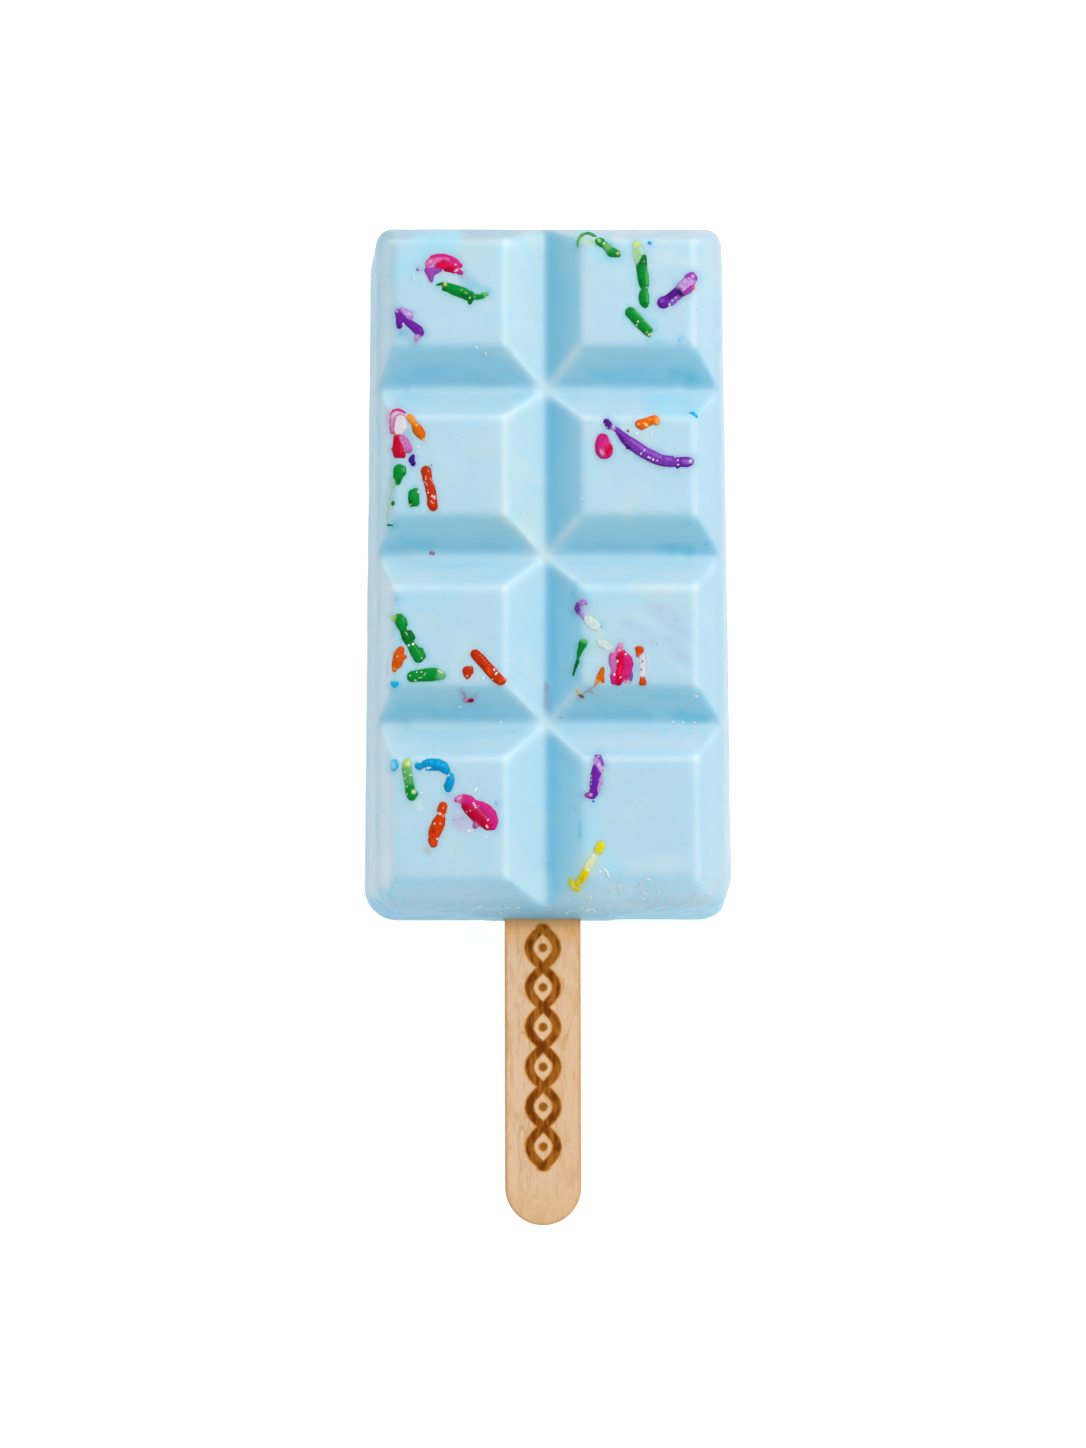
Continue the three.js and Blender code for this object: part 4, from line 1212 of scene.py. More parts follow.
# %% Flecks of frost
FROST = (0.61, 0.755, 0.84)
FROST_MARKS = dict(
    streak_1_left=[(412.5, 276, 0.1), (414.5, 280.5, 0.1)],
    dash_1_left=[(476, 347.3, 0.2), (476.4, 348.6, 0.18)],
    dash_low_1_left=[(485, 353, 0.19), (486, 355, 0.16)],
    dash_2_left=[(417.5, 447, 0.16), (418, 447.4, 0.15)],
    dashes_2_right=[(636.8, 433.2, 0.2), (636.4, 434.6, 0.17)],
    dash_side_2_right=[(651, 433, 0.13), (651.3, 435.4, 0.12)],
    spot_2_right=[(581, 499, 0.17), (581.4, 499.3, 0.16)],
    dash_3_left=[(483.4, 677.5, 0.13), (483.2, 679.4, 0.13)],
    spot_3_left=[(459.6, 707, 0.19), (460, 707.4, 0.17)],
    spot_low_3_left=[(500.5, 722, 0.17), (500.8, 722.3, 0.17)],
    arc_3_left=[(387.6, 658, 0.14), (386.4, 667, 0.15), (387, 676, 0.12)],
    spot_3_right=[(696, 696.3, 0.25), (696.6, 696.6, 0.25)],
    row_3_right=[(672.5, 721.6, 0.17), (672.9, 721.9, 0.17)],
    row_middle_3_right=[(683, 722.4, 0.16), (683.4, 722.6, 0.15)],
    row_end_3_right=[(694, 722.4, 0.16), (694.4, 722.6, 0.15)],
    streak_4_left=[(476.5, 788.6, 0.15), (475, 791.6, 0.16)],
    spot_4_left=[(468.8, 830.6, 0.17), (468.6, 832, 0.16)],
    spot_low_4_left=[(485.6, 837, 0.13), (485.8, 838, 0.13)],
    crumb_4_left=[(421.6, 793, 0.17), (422, 793.3, 0.16)],
    arc_4_right=[(604.5, 869, 0.13), (607.6, 872.5, 0.15), (608.6, 877.5, 0.13)],
    spot_4_right=[(600.2, 871.5, 0.19), (600.4, 872, 0.17)],
    hook_4_right=[(617.5, 886, 0.2), (621, 884.6, 0.19), (619.6, 888, 0.15), (620.3, 891.4, 0.13)],
    ring_4_right=[(640.2, 884.6, 0.12), (643, 880.6, 0.12), (647.5, 879, 0.13), (651.5, 880.6, 0.12)],
    ring_side_4_right=[(638, 887, 0.17), (641.4, 886.4, 0.19)],
    ring_right_4_right=[(653.8, 888, 0.17), (657.4, 885.4, 0.2), (661.6, 883.6, 0.15)],
    crumbs_4_right=[(657.6, 890.6, 0.16), (658.4, 891.6, 0.16)],
    streaks_4_right=[(642, 892.2, 0.17), (645.4, 894, 0.19)],
    streaks_right_4_right=[(647.4, 892, 0.15), (650.4, 891, 0.13)],
    ring_low_4_right=[(639, 893.6, 0.09), (641, 897.5, 0.12), (646, 899.5, 0.15)],
    ring_bottom_4_right=[(647.5, 902.4, 0.13), (652.5, 901.4, 0.15)],
    dash_right_4_right=[(662, 894.2, 0.13), (665, 895.2, 0.12)],
    dash_far_4_right=[(668, 895, 0.13), (670.5, 896.3, 0.12)],
    bird_4_right=[(684, 904.4, 0.17), (688.5, 903.6, 0.2), (692, 904.2, 0.17), (694.5, 903.2, 0.15)],
    bird_tail_4_right=[(682.5, 905.5, 0.15), (680.5, 907, 0.15)],
    question_4_right=[(587, 896.8, 0.13), (590.5, 896, 0.15), (591, 899, 0.13), (588.8, 900.6, 0.12)],
    dot_low_4_right=[(588.8, 903.2, 0.16), (589.1, 903.6, 0.15)],
    brow_4_right=[(585.6, 911.4, 0.17), (588.5, 909.2, 0.17), (593, 909.4, 0.16), (595, 911.4, 0.16)],
    dash_low_4_right=[(605, 906, 0.17), (607.6, 905.6, 0.17)],
    spot_teal_4_right=[(610.2, 912.4, 0.19), (610.6, 912.7, 0.17)],
    row_low_4_right=[(632.6, 910.4, 0.16), (634.6, 911, 0.15)],
    row_bottom_4_right=[(641.6, 913.6, 0.19), (645.6, 913.2, 0.19)],
    row_right_4_right=[(660, 911.2, 0.16), (665.6, 910.4, 0.17)],
    low_4_left=[(396, 884.6, 0.17), (397.6, 885.4, 0.16)],
    low_middle_4_left=[(400, 894, 0.17), (401.2, 894.4, 0.16)],
    low_right_4_left=[(478.4, 907, 0.2), (480.6, 906.4, 0.17)],
    low_stick_4_left=[(507.4, 908, 0.17), (509, 908.6, 0.17)],
    low_stick_right_4_left=[(517.4, 908, 0.17), (519, 907.4, 0.17)],
    low_centre_4_left=[(439.4, 907, 0.16), (441.2, 907.4, 0.16)],
)
FROST_FILMS = {name: (FROST, marks) for name, marks in FROST_MARKS.items()}

# %% [markdown]
# The named flecks are the ones that stand out. Between them the same bevel has many smaller
# crystals, scattered at random but always the same from run to run.

# %% Scatter the smallest crystals
CRYSTALS = 24
CRYSTAL_ROWS = (884, 915)
CRYSTAL_COLUMNS = (378, 720)
CRYSTAL_SIZES = (0.08, 0.22, 0.12)
CRYSTAL_DRIFT = 2
CRYSTAL_FALL = 1
CRYSTAL_DULLNESS = (0.2, 0.8)
CRYSTAL_TAPER = 0.8
CRYSTAL_SWELL = 0.04 * MM
chance = random.Random(7)
for number in range(CRYSTALS):
    column = chance.uniform(*CRYSTAL_COLUMNS)
    row = chance.triangular(*CRYSTAL_ROWS, CRYSTAL_ROWS[1])
    size = chance.triangular(*CRYSTAL_SIZES)
    drift = chance.uniform(-CRYSTAL_DRIFT, CRYSTAL_DRIFT)
    fall = chance.uniform(-CRYSTAL_FALL, CRYSTAL_FALL)
    dull = blend(FROST, BARE_ICE, chance.uniform(*CRYSTAL_DULLNESS))
    crystal_end = (column + drift, row + fall, size * CRYSTAL_TAPER)
    FROST_FILMS[f"crystal_{number}"] = (dull, [(column, row, size), crystal_end])

frost = model_sprinkles("frost_flecks", None, {}, FROST_FILMS, {}, film_swell=CRYSTAL_SWELL)
bpy.data.objects.remove(ball)

# %% [markdown]
# ## Dye in the ice, and painted light and shade
# Round each sprinkle the ice has taken up some colour, and there are smears where a
# sprinkle was dragged while the mix was still soft. The bar's vertices carry that dye as a
# colour with a strength. The stains along the valleys and the deeper cyan on the low slopes
# are painted shade. A second layer paints light and shade onto the form: painted highlights
# make the ridges pale and the mitres where two grooves cross paler than the slopes beside
# them, painted light falls on the slopes that face the light, and painted shade lies on the
# slopes that face away, in the valleys and on the lowest sides, which are a deeper blue.

# %% Name the stains and the painted shade
VIOLET_ICE = (0.2, 0.38, 0.62)
MAUVE_ICE = (0.32, 0.44, 0.64)
GREY_ICE = (0.38, 0.5, 0.6)
BLUE_ICE = (0.2, 0.52, 0.74)
YELLOW_ICE = (0.42, 0.62, 0.48)
FOOT_ICE = (0.19, 0.4, 0.6)
PINK_EDGE_ICE = (0.62, 0.22, 0.42)
PINK_SIDE_ICE = (0.66, 0.34, 0.52)
PALE_FILM_ICE = (0.62, 0.56, 0.66)
HOOK_ICE = (0.48, 0.4, 0.66)
STRAND_ICE = (0.55, 0.66, 0.42)
STRAND_FOOT_ICE = (0.55, 0.66, 0.38)
ARC_ICE = (0.4, 0.54, 0.24)
GREEN_LINE_ICE = (0.42, 0.63, 0.46)
SMUDGE_ICE = (0.27, 0.27, 0.42)
PALE_ARC_ICE = (0.64, 0.7, 0.75)
DEEP_LILAC_ICE = (0.49, 0.42, 0.62)
LILAC_CORNER_ICE = (0.56, 0.63, 0.74)
CYAN_ICE = (0.31, 0.66, 0.79)
# Painted shade: the deeper cyan on the low slopes that face away from the light.
CYAN_SHADE = (0.12, 0.55, 0.72)
PALE_ICE = (0.55, 0.66, 0.725)
# Painted shade: the deeper blue along the valleys.
VALLEY_SHADE = (0.2, 0.47, 0.62)
LILAC_ICE = (0.39, 0.48, 0.68)
SMOKY_ICE = (0.24, 0.44, 0.62)
TEAL_ICE = (0.1, 0.52, 0.62)
GREENISH_ICE = (0.42, 0.62, 0.56)
CREAM_ICE = (0.55, 0.69, 0.68)
TAN_ICE = (0.46, 0.47, 0.36)
DUSKY_ICE = (0.27, 0.3, 0.42)
HALOS = {
    "green": (TEAL_ICE, 0.4), "purple": (VIOLET_ICE, 0.5), "pink": (MAUVE_ICE, 0.45),
    "orange": (GREY_ICE, 0.4), "blue": (BLUE_ICE, 0.45), "yellow": (YELLOW_ICE, 0.3),
}
# Most stains are dye in the ice; the valley ones and the deeper cyan ones on the low slopes are painted
# shade.
STAINS_AND_PAINTED_SHADE = dict(
    cyan_corner_1_left=(CYAN_ICE, 0.65, [(400, 268, 1.8), (424, 246, 1.9), (450, 240, 1.5)]),
    haze_1_left=(SMOKY_ICE, 0.85, [(463, 274, 0.7), (470, 284, 0.9)]),
    teal_end_1_left=(TEAL_ICE, 0.5, [(474, 286, 0.7), (489, 290, 0.5)]),
    teal_drip_1_left=(TEAL_ICE, 0.8, [(469.8, 304, 0.16), (469.6, 307, 0.14)]),
    yellow_foot_1_left=(GREENISH_ICE, 0.5, [(441, 294, 0.5), (450, 299, 0.5)]),
    blue_foot_1_left=(FOOT_ICE, 0.75, [(403, 333, 0.8), (411, 338, 0.7)]),
    cyan_1_right=(CYAN_ICE, 0.6, [(592, 254, 0.9), (606, 259, 0.8)]),
    teal_1_right=(TEAL_ICE, 0.5, [(607, 240, 0.5), (611, 243, 0.5)]),
    yellow_halo_1_right=(LEMON, 0.35, [(637, 241.5, 0.7), (637.5, 246, 0.8)]),
    teal_wedge_1_right=(TEAL_ICE, 0.45, [(652.5, 321, 0.4), (655, 330, 0.4)]),
    # Painted shade: deeper cyan on the low slopes that face away from the light.
    cyan_bevel_1_right=(CYAN_SHADE, 0.7, [(676, 373, 0.9), (692, 378, 1.1)]),
    cyan_2_left=(CYAN_ICE, 0.7, [(464, 540, 1.0), (478, 543, 1.0)]),
    smoky_2_left=(SMOKY_ICE, 0.45, [(407, 430, 0.7), (410, 448, 0.7)]),
    green_side_2_left=(GREENISH_ICE, 0.6, [(391, 482, 0.4), (388, 500, 0.3), (385, 518, 0.25)]),
    teal_tip_2_left=(TEAL_ICE, 0.6, [(395, 525.5, 0.3), (398, 526, 0.25)]),
    pink_edge_2_left=(PINK_EDGE_ICE, 0.8, [(391, 413, 0.5), (396, 412, 0.6), (403, 414, 0.5)]),
    pink_side_2_left=(PINK_SIDE_ICE, 0.85, [(390.5, 418, 0.7), (390.5, 430, 0.6)]),
    pale_film_2_left=(PALE_FILM_ICE, 0.9, [(397, 418, 0.9), (401, 424, 0.9), (399, 432, 0.7)]),
    hook_haze_3_right=(HOOK_ICE, 0.9, [(583, 606, 0.5), (586, 611, 0.6)]),
    cream_link_3_right=(CREAM_ICE, 0.9, [(598, 630, 0.6), (602, 635, 0.6), (600, 640, 0.5)]),
    yellow_strand_halo_4_right=(STRAND_ICE, 0.6, [(594, 856, 0.9), (588, 868, 0.9)]),
    yellow_foot_halo_4_right=(STRAND_FOOT_ICE, 0.45, [(578, 884, 1.0), (572, 884, 0.9)]),
    cyan_2_right=(CYAN_ICE, 0.6, [(589, 458, 0.9), (593, 472, 1.0)]),
    arc_fill_1_right=(ARC_ICE, 1.0, [(583, 240, 0.6), (591, 240, 0.7), (596, 242, 0.4)]),
    arc_edge_1_right=(LEMON, 0.3, [(579, 243, 0.2), (581, 238, 0.2)]),
    green_line_2_left=(GREEN_LINE_ICE, 0.6, [(392, 486, 0.4), (390, 500, 0.42), (387, 514, 0.36)]),
    # Painted shade: deeper cyan on the low slopes that face away from the light.
    cyan_bevel_2_right=(CYAN_SHADE, 0.75, [(658, 547, 0.5), (672, 549, 0.7), (690, 551, 0.8)]),
    cyan_high_bevel_1_right=(CYAN_SHADE, 0.4, [(650, 342, 0.5), (664, 341, 0.5)]),
    cyan_side_1_left=(CYAN_ICE, 0.3, [(498, 252, 1.2), (500, 280, 1.0)]),
    cyan_edge_1_right=(CYAN_ICE, 0.3, [(604, 256, 1.4)]),
    # Painted shade along the valleys.
    valley_1_left=(VALLEY_SHADE, 0.35, [(400, 381.1, 0.4), (430, 382.9, 0.3), (455, 381.1, 0.5),
        (486, 382, 0.6), (515, 382.9, 0.3)]),
    valley_1_right=(VALLEY_SHADE, 0.35, [(566, 381.7, 0.5), (600, 382.9, 0.3), (640, 381.1, 0.4),
        (672, 382.3, 0.5)]),
    valley_2_left=(VALLEY_SHADE, 0.35, [(390, 547.6, 0.3), (420, 546.4, 0.6), (450, 548.2, 0.4),
        (480, 546.4, 0.6), (510, 548.8, 0.3)]),
    valley_2_right=(VALLEY_SHADE, 0.35, [(570, 548, 0.4), (610, 546.8, 0.5), (650, 548, 0.3),
        (690, 547.4, 0.5)]),
    valley_3_left=(VALLEY_SHADE, 0.35, [(392, 715.9, 0.3), (412, 718.3, 0.5), (432, 715.9, 0.6),
        (470, 717.7, 0.3), (505, 717.1, 0.5)]),
    valley_3_right=(VALLEY_SHADE, 0.35, [(572, 716.4, 0.4), (610, 714.6, 0.5), (650, 717, 0.4)]),
    cyan_high_2_right=(CYAN_ICE, 0.5, [(660, 404, 1.4), (686, 409, 1.2)]),
    pale_corner_1_right=(PALE_ICE, 0.7, [(664, 252, 1.6), (686, 262, 1.4), (686, 280, 1.0)]),
    pale_slope_1_right=(PALE_ICE, 0.45, [(590, 402, 1.3), (636, 403, 1.1)]),
    pale_slope_3_right=(PALE_ICE, 0.6, [(586, 741, 1.4), (640, 740, 1.2), (690, 742, 1.4)]),
    pale_low_4_right=(PALE_ICE, 0.5, [(630, 866, 1.0), (690, 862, 1.4)]),
    cyan_3_left=(CYAN_ICE, 0.4, [(410, 600, 1.6), (450, 596, 1.4)]),
    teal_3_left=(TEAL_ICE, 0.9, [(436.5, 680, 0.36), (441, 680.5, 0.34)]),
    green_side_3_left=(TEAL_ICE, 0.5, [(396, 632, 0.5), (402, 641, 0.4)]),
    smear_left_3_left=(DUSKY_ICE, 0.7, [(461, 689, 0.3), (465, 697, 0.4), (474, 697, 0.4)]),
    smear_right_3_left=(DUSKY_ICE, 0.45, [(479, 691.5, 0.18), (472, 698, 0.24)]),
    smudge_groove=(SMUDGE_ICE, 0.75, [(546.6, 684, 0.3), (547.2, 708, 0.5)]),
    cyan_high_3_right=(CYAN_ICE, 0.4, [(583, 596, 1.0), (620, 594, 1.6), (640, 600, 1.2)]),
    # Painted shade: deeper cyan on a slope that faces away from the light.
    cyan_groove_3_right=(CYAN_SHADE, 0.5, [(573.5, 584, 0.5), (573.5, 599, 0.5)]),
    lilac_3_right=(LILAC_ICE, 0.5, [(628, 624, 0.8), (640, 631, 1.0), (652, 641, 0.9)]),
    lilac_high_3_right=(LILAC_ICE, 0.45, [(650, 606, 0.9), (668, 616, 1.3), (686, 633, 0.9)]),
    lilac_low_3_right=(LILAC_ICE, 0.5, [(668, 640, 0.8), (679, 652, 1.0), (688, 664, 0.5)]),
    greenish_3_right=(GREENISH_ICE, 0.35, [(586, 640, 0.6), (592, 654, 0.5)]),
    cream_corner_3_right=(CREAM_ICE, 0.5, [(584, 668, 0.5), (588, 682, 0.7)]),
    pale_arc_3_right=(PALE_ARC_ICE, 0.7, [(646.5, 653, 0.22), (648.4, 664, 0.26), (647, 677, 0.22)]),
    # Painted shade: deeper cyan on the low slopes that face away from the light.
    cyan_low_1_left=(CYAN_SHADE, 0.3, [(420, 372, 0.8), (450, 370, 0.6), (476, 376, 0.8)]),
    cyan_low_2_left=(CYAN_SHADE, 0.3, [(402, 540, 0.7), (430, 544, 0.8)]),
    cyan_low_3_left=(CYAN_SHADE, 0.3, [(400, 706, 0.7), (420, 710, 0.9), (486, 708, 0.7)]),
    teal_low_3_right=(CYAN_SHADE, 0.3, [(600, 706, 0.8), (640, 712, 0.8)]),
    teal_low_1_right=(CYAN_SHADE, 0.3, [(590, 372, 0.7), (620, 377, 0.8), (640, 372, 0.6)]),
    lilac_side_3_right=(LILAC_ICE, 0.7, [(633, 660, 0.6), (636, 676, 0.6)]),
    # Painted shade: deeper cyan on the low slopes that face away from the light.
    cyan_bevel_3_right=(CYAN_SHADE, 0.6, [(676, 715, 0.7), (688, 718, 0.8), (704, 719, 0.5)]),
    teal_bevel_3_right=(CYAN_SHADE, 0.5, [(684, 718.5, 0.3)]),
    teal_line_3_right=(TEAL_ICE, 0.25, [(650, 697, 0.2), (680, 696.5, 0.3)]),
    cream_halo_4_left=(CREAM_ICE, 0.6, [(400.5, 760, 0.3), (401, 768, 0.35)]),
    green_halo_4_left=(GREENISH_ICE, 0.55, [(404, 775, 0.8), (407, 795, 0.9), (413, 804, 0.8)]),
    cream_tail_4_left=(CREAM_ICE, 0.9, [(417, 801.5, 0.36), (420.5, 808, 0.42)]),
    tan_4_left=(TAN_ICE, 0.8, [(425.5, 849, 0.36), (428.5, 852, 0.42)]),
    lilac_4_left=(DEEP_LILAC_ICE, 0.85, [(456, 814, 0.9), (463, 823, 1.2)]),
    lilac_high_4_left=(LILAC_ICE, 0.5, [(450, 797, 0.6), (456, 808, 0.7)]),
    cyan_4_right=(CYAN_ICE, 0.65, [(589, 812, 0.9), (590, 832, 1.3), (594, 850, 1.0)]),
    cyan_low_4_right=(CYAN_ICE, 0.6, [(606, 854, 1.0), (612, 866, 1.3), (616, 873, 0.9)]),
    teal_line_4_right=(TEAL_ICE, 0.7, [(579.6, 822, 0.18), (579.4, 838, 0.2)]),
    lilac_corner_4_right=(LILAC_CORNER_ICE, 0.55, [(690, 905, 1.0), (712, 896, 1.6)]),
    lilac_bottom=(LILAC_ICE, 0.3, [(640, 906, 1.4), (680, 908, 1.2)]),
)

# %% Soak the dye and the painted shade into the bar's vertices
HALO_REACH = 4.5
SOFT_START = 0.1
SOFT_END = 1.7
FAR_OFF = 9.0
DYE_DEPTH = 2 * MM
DYE_RISE = 1 * MM
LOOKS_UP = 0.3


def off_stroke(pixel, marks):
    """How far the pixel is from the stroke's spine, over the stroke's half width there."""
    nearest = FAR_OFF
    for start, end in zip(marks, marks[1:]):
        along = Vector((end[0] - start[0], end[1] - start[1]))
        offset = Vector((pixel.x - start[0], pixel.y - start[1]))
        share = max(0, min(1, offset.dot(along) / max(along.length_squared, TINY)))
        half = (start[2] + (end[2] - start[2]) * share) * PIXELS_PER_MM
        nearest = min(nearest, (offset - along * share).length / half)
    return nearest


def soak_in(colour, strength, over, share):
    """Lays more colour, dye and painted shade alike, over ice that already holds some: the new colour and
    strength.
    """
    total = share + strength * (1 - share)
    return blend(colour, over, share / total), total


halo_tree = pixel_tree(all_beads)
dye_and_shade = bar.data.color_attributes.new("dye_and_shade", "FLOAT_COLOR", "POINT")
stain_and_shade_boxes = [
    (min(m[0] for m in marks) - edge, max(m[0] for m in marks) + edge,
     min(m[1] for m in marks) - edge, max(m[1] for m in marks) + edge, colour, strength, marks)
    for colour, strength, marks in STAINS_AND_PAINTED_SHADE.values()
    for edge in [SOFT_END * PIXELS_PER_MM * max(m[2] for m in marks)]
]
for vertex, soak in zip(bar.data.vertices, dye_and_shade.data):
    colour, strength = CYAN_ICE, 0.0
    if vertex.normal.z > LOOKS_UP and vertex.co.z > rim_height - DYE_DEPTH:
        pixel = photo_pixel(vertex.co)
        for left, right, above, below, over, power, marks in stain_and_shade_boxes:
            if left < pixel.x < right and above < pixel.y < below:
                share = power * (1 - ease(off_stroke(pixel, marks), SOFT_START, SOFT_END))
                if share > 0:
                    colour, strength = soak_in(colour, strength, over, share)
        place, index, distance = halo_tree.find(pixel)
        column, row, half, kind = all_beads[index]
        clear = max(0, distance - half / MM * PIXELS_PER_MM)
        if kind and clear < 3 * HALO_REACH:
            over, power = HALOS[kind]
            share = power * math.exp(-((clear / HALO_REACH) ** 2))
            colour, strength = soak_in(colour, strength, over, share)
        strength *= ease(vertex.co.z, rim_height - DYE_DEPTH, rim_height + DYE_RISE)
    soak.color = (*colour, strength)

# %% Paint light and shade onto the sides
# Painted light and shade: each slope is made lighter or darker by which way it faces and how deep it lies,
# as the light falls on it.
CLEAN = (1, 1, 1)
IN_GROOVE_LIGHT_AND_SHADE = {
    "left": ((0.75, 1.02, 1.1), (0.45, 0.88, 1.03)),
    "right": ((1.1, 1.07, 1.04), (1.14, 1.09, 1.04)),
    "near": ((0.8, 1.05, 1.1), (0.66, 0.98, 1.08)),
    "far": ((0.98, 0.99, 1.0), (1.02, 1.01, 1.0)),
}
OUTSIDE_LIGHT_AND_SHADE = {
    "left": ((1.1, 1.06, 1.07), (0.78, 0.87, 0.93)),
    "right": ((0.94, 0.93, 0.94), (0.87, 0.86, 0.89)),
    "near": ((0.91, 1.09, 1.17), (0.7, 0.97, 1.08)),
    "far": ((0.62, 0.66, 0.715), (0.6, 0.63, 0.69)),
}
RIDGE_HIGHLIGHT = (1.3, 1.13, 1.06)
NEAR_WALL_SHADE = (0.63, 0.85, 0.93)
EDGE_LIGHT_TONE = (1.12, 1.045, 1.02)
LONG_VALLEY_SHADE = (0.77, 0.91, 0.97)
CROSS_VALLEY_SHADE = (0.86, 0.95, 0.98)
FAR_RIGHT_LIGHT = (1.36, 1.18, 1.1)
NEAR_RIGHT_LIGHT = (1.2, 1.1, 1.06)
LEFT_NEAR_LIGHT = (1.27, 1.13, 1.08)
MITRE_HIGHLIGHT = (1.34, 1.17, 1.09)
MITRE_WIDTH = 0.3
MITRE_END = 1.05
MITRE_SHARE = 0.8
CROSSING_CORE = 0.1
CROSSING_EDGE = 0.4
MITRE_FADE_FROM = 0.8
MITRE_FADE_SHARE = 0.6
BORDER = 0.6 * MM
EDGE_LIGHT_REACH = 1.2 * MM
VALLEY_CORE = 0.2 * MM
LONG_VALLEY_SHIFT = 0.25 * MM
LONG_VALLEY_REACH = 0.9 * MM
CROSS_VALLEY_SHIFT = 0.95 * MM
CROSS_VALLEY_REACH = 1.1 * MM
VALLEY_HEIGHT = 2 * MM
EDGE_LIGHT_BACK = 0.25 * MM
EDGE_LIGHT_DEPTH = 0.9 * MM
RIDGE_BULGE = (0.04, 0.12)
LOW_EDGE_SHARE = 0.6
LOW_EDGE_REACH = 0.5 * MM
WALL_START = 0.5 * MM
WALL_FADE = 1 * MM
LOOKS_NEAR = -0.5
OUTSIDE_DEEP_FROM = 0.65
LEFT_NEAR_SHARE = 0.8
FAR_RIGHT_SPAN = (-14 * MM, 8 * MM)
NEAR_RIGHT_SPAN = (0, 8 * MM)
CRISPNESS = 0.16
SLOPE_FROM = 0.12
SLOPE_FULL = 0.6
lit_edges_right = (long_groove - long_half_left, face_right)
lit_edges_far = [face_far] + [line - cross_half_near for line in cross_grooves]


def painted_edge_light(spot):
    """How close the spot lies to its square's right or far edge, where light is painted as if it shone
    through.
    """
    gaps = [edge - spot.x for edge in lit_edges_right] + [edge - spot.y for edge in lit_edges_far]
    return max(1 - ease(gap, 0, EDGE_LIGHT_REACH) for gap in gaps if gap > -EDGE_LIGHT_BACK)


def multiply(first, second, share):
    return tuple(a * (1 + (b - 1) * share) for a, b in zip(first, second))


def bulges(mesh):
    """How far each vertex stands out from its neighbours, over their distance, averaged."""
    shape = bmesh.new()
    shape.from_mesh(mesh)
    bulge = []
    for vertex in shape.verts:
        others = [edge.other_vert(vertex).co for edge in vertex.link_edges]
        middle = sum(others, Vector()) / len(others)
        reach = sum((other - vertex.co).length for other in others) / len(others)
        bulge.append((vertex.co - middle).dot(vertex.normal) / reach)
    calm = []
    for vertex in shape.verts:
        near = [bulge[edge.other_vert(vertex).index] for edge in vertex.link_edges]
        calm.append((bulge[vertex.index] + sum(near)) / (1 + len(near)))
    shape.free()
    return calm


def on_mitre(spot):
    """How close the spot lies to a mitre, where a slope of one groove meets a slope of another."""
    half_long = long_half_left if spot.x < long_groove else long_half_right
    over = abs(spot.x - long_groove) / half_long
    share = 0
    for line in cross_grooves:
        up = abs(spot.y - line) / (cross_half_near if spot.y < line else cross_half_far)
        if over < MITRE_END and up < MITRE_END:
            share = 1 - ease(abs(over - up), 0, MITRE_WIDTH)
            crossing = 1 - ease(math.hypot(over, up), CROSSING_CORE, CROSSING_EDGE)
            share = max(share, crossing)
            share *= 1 - MITRE_FADE_SHARE * ease(min(over, up), MITRE_FADE_FROM, 1)
    return share


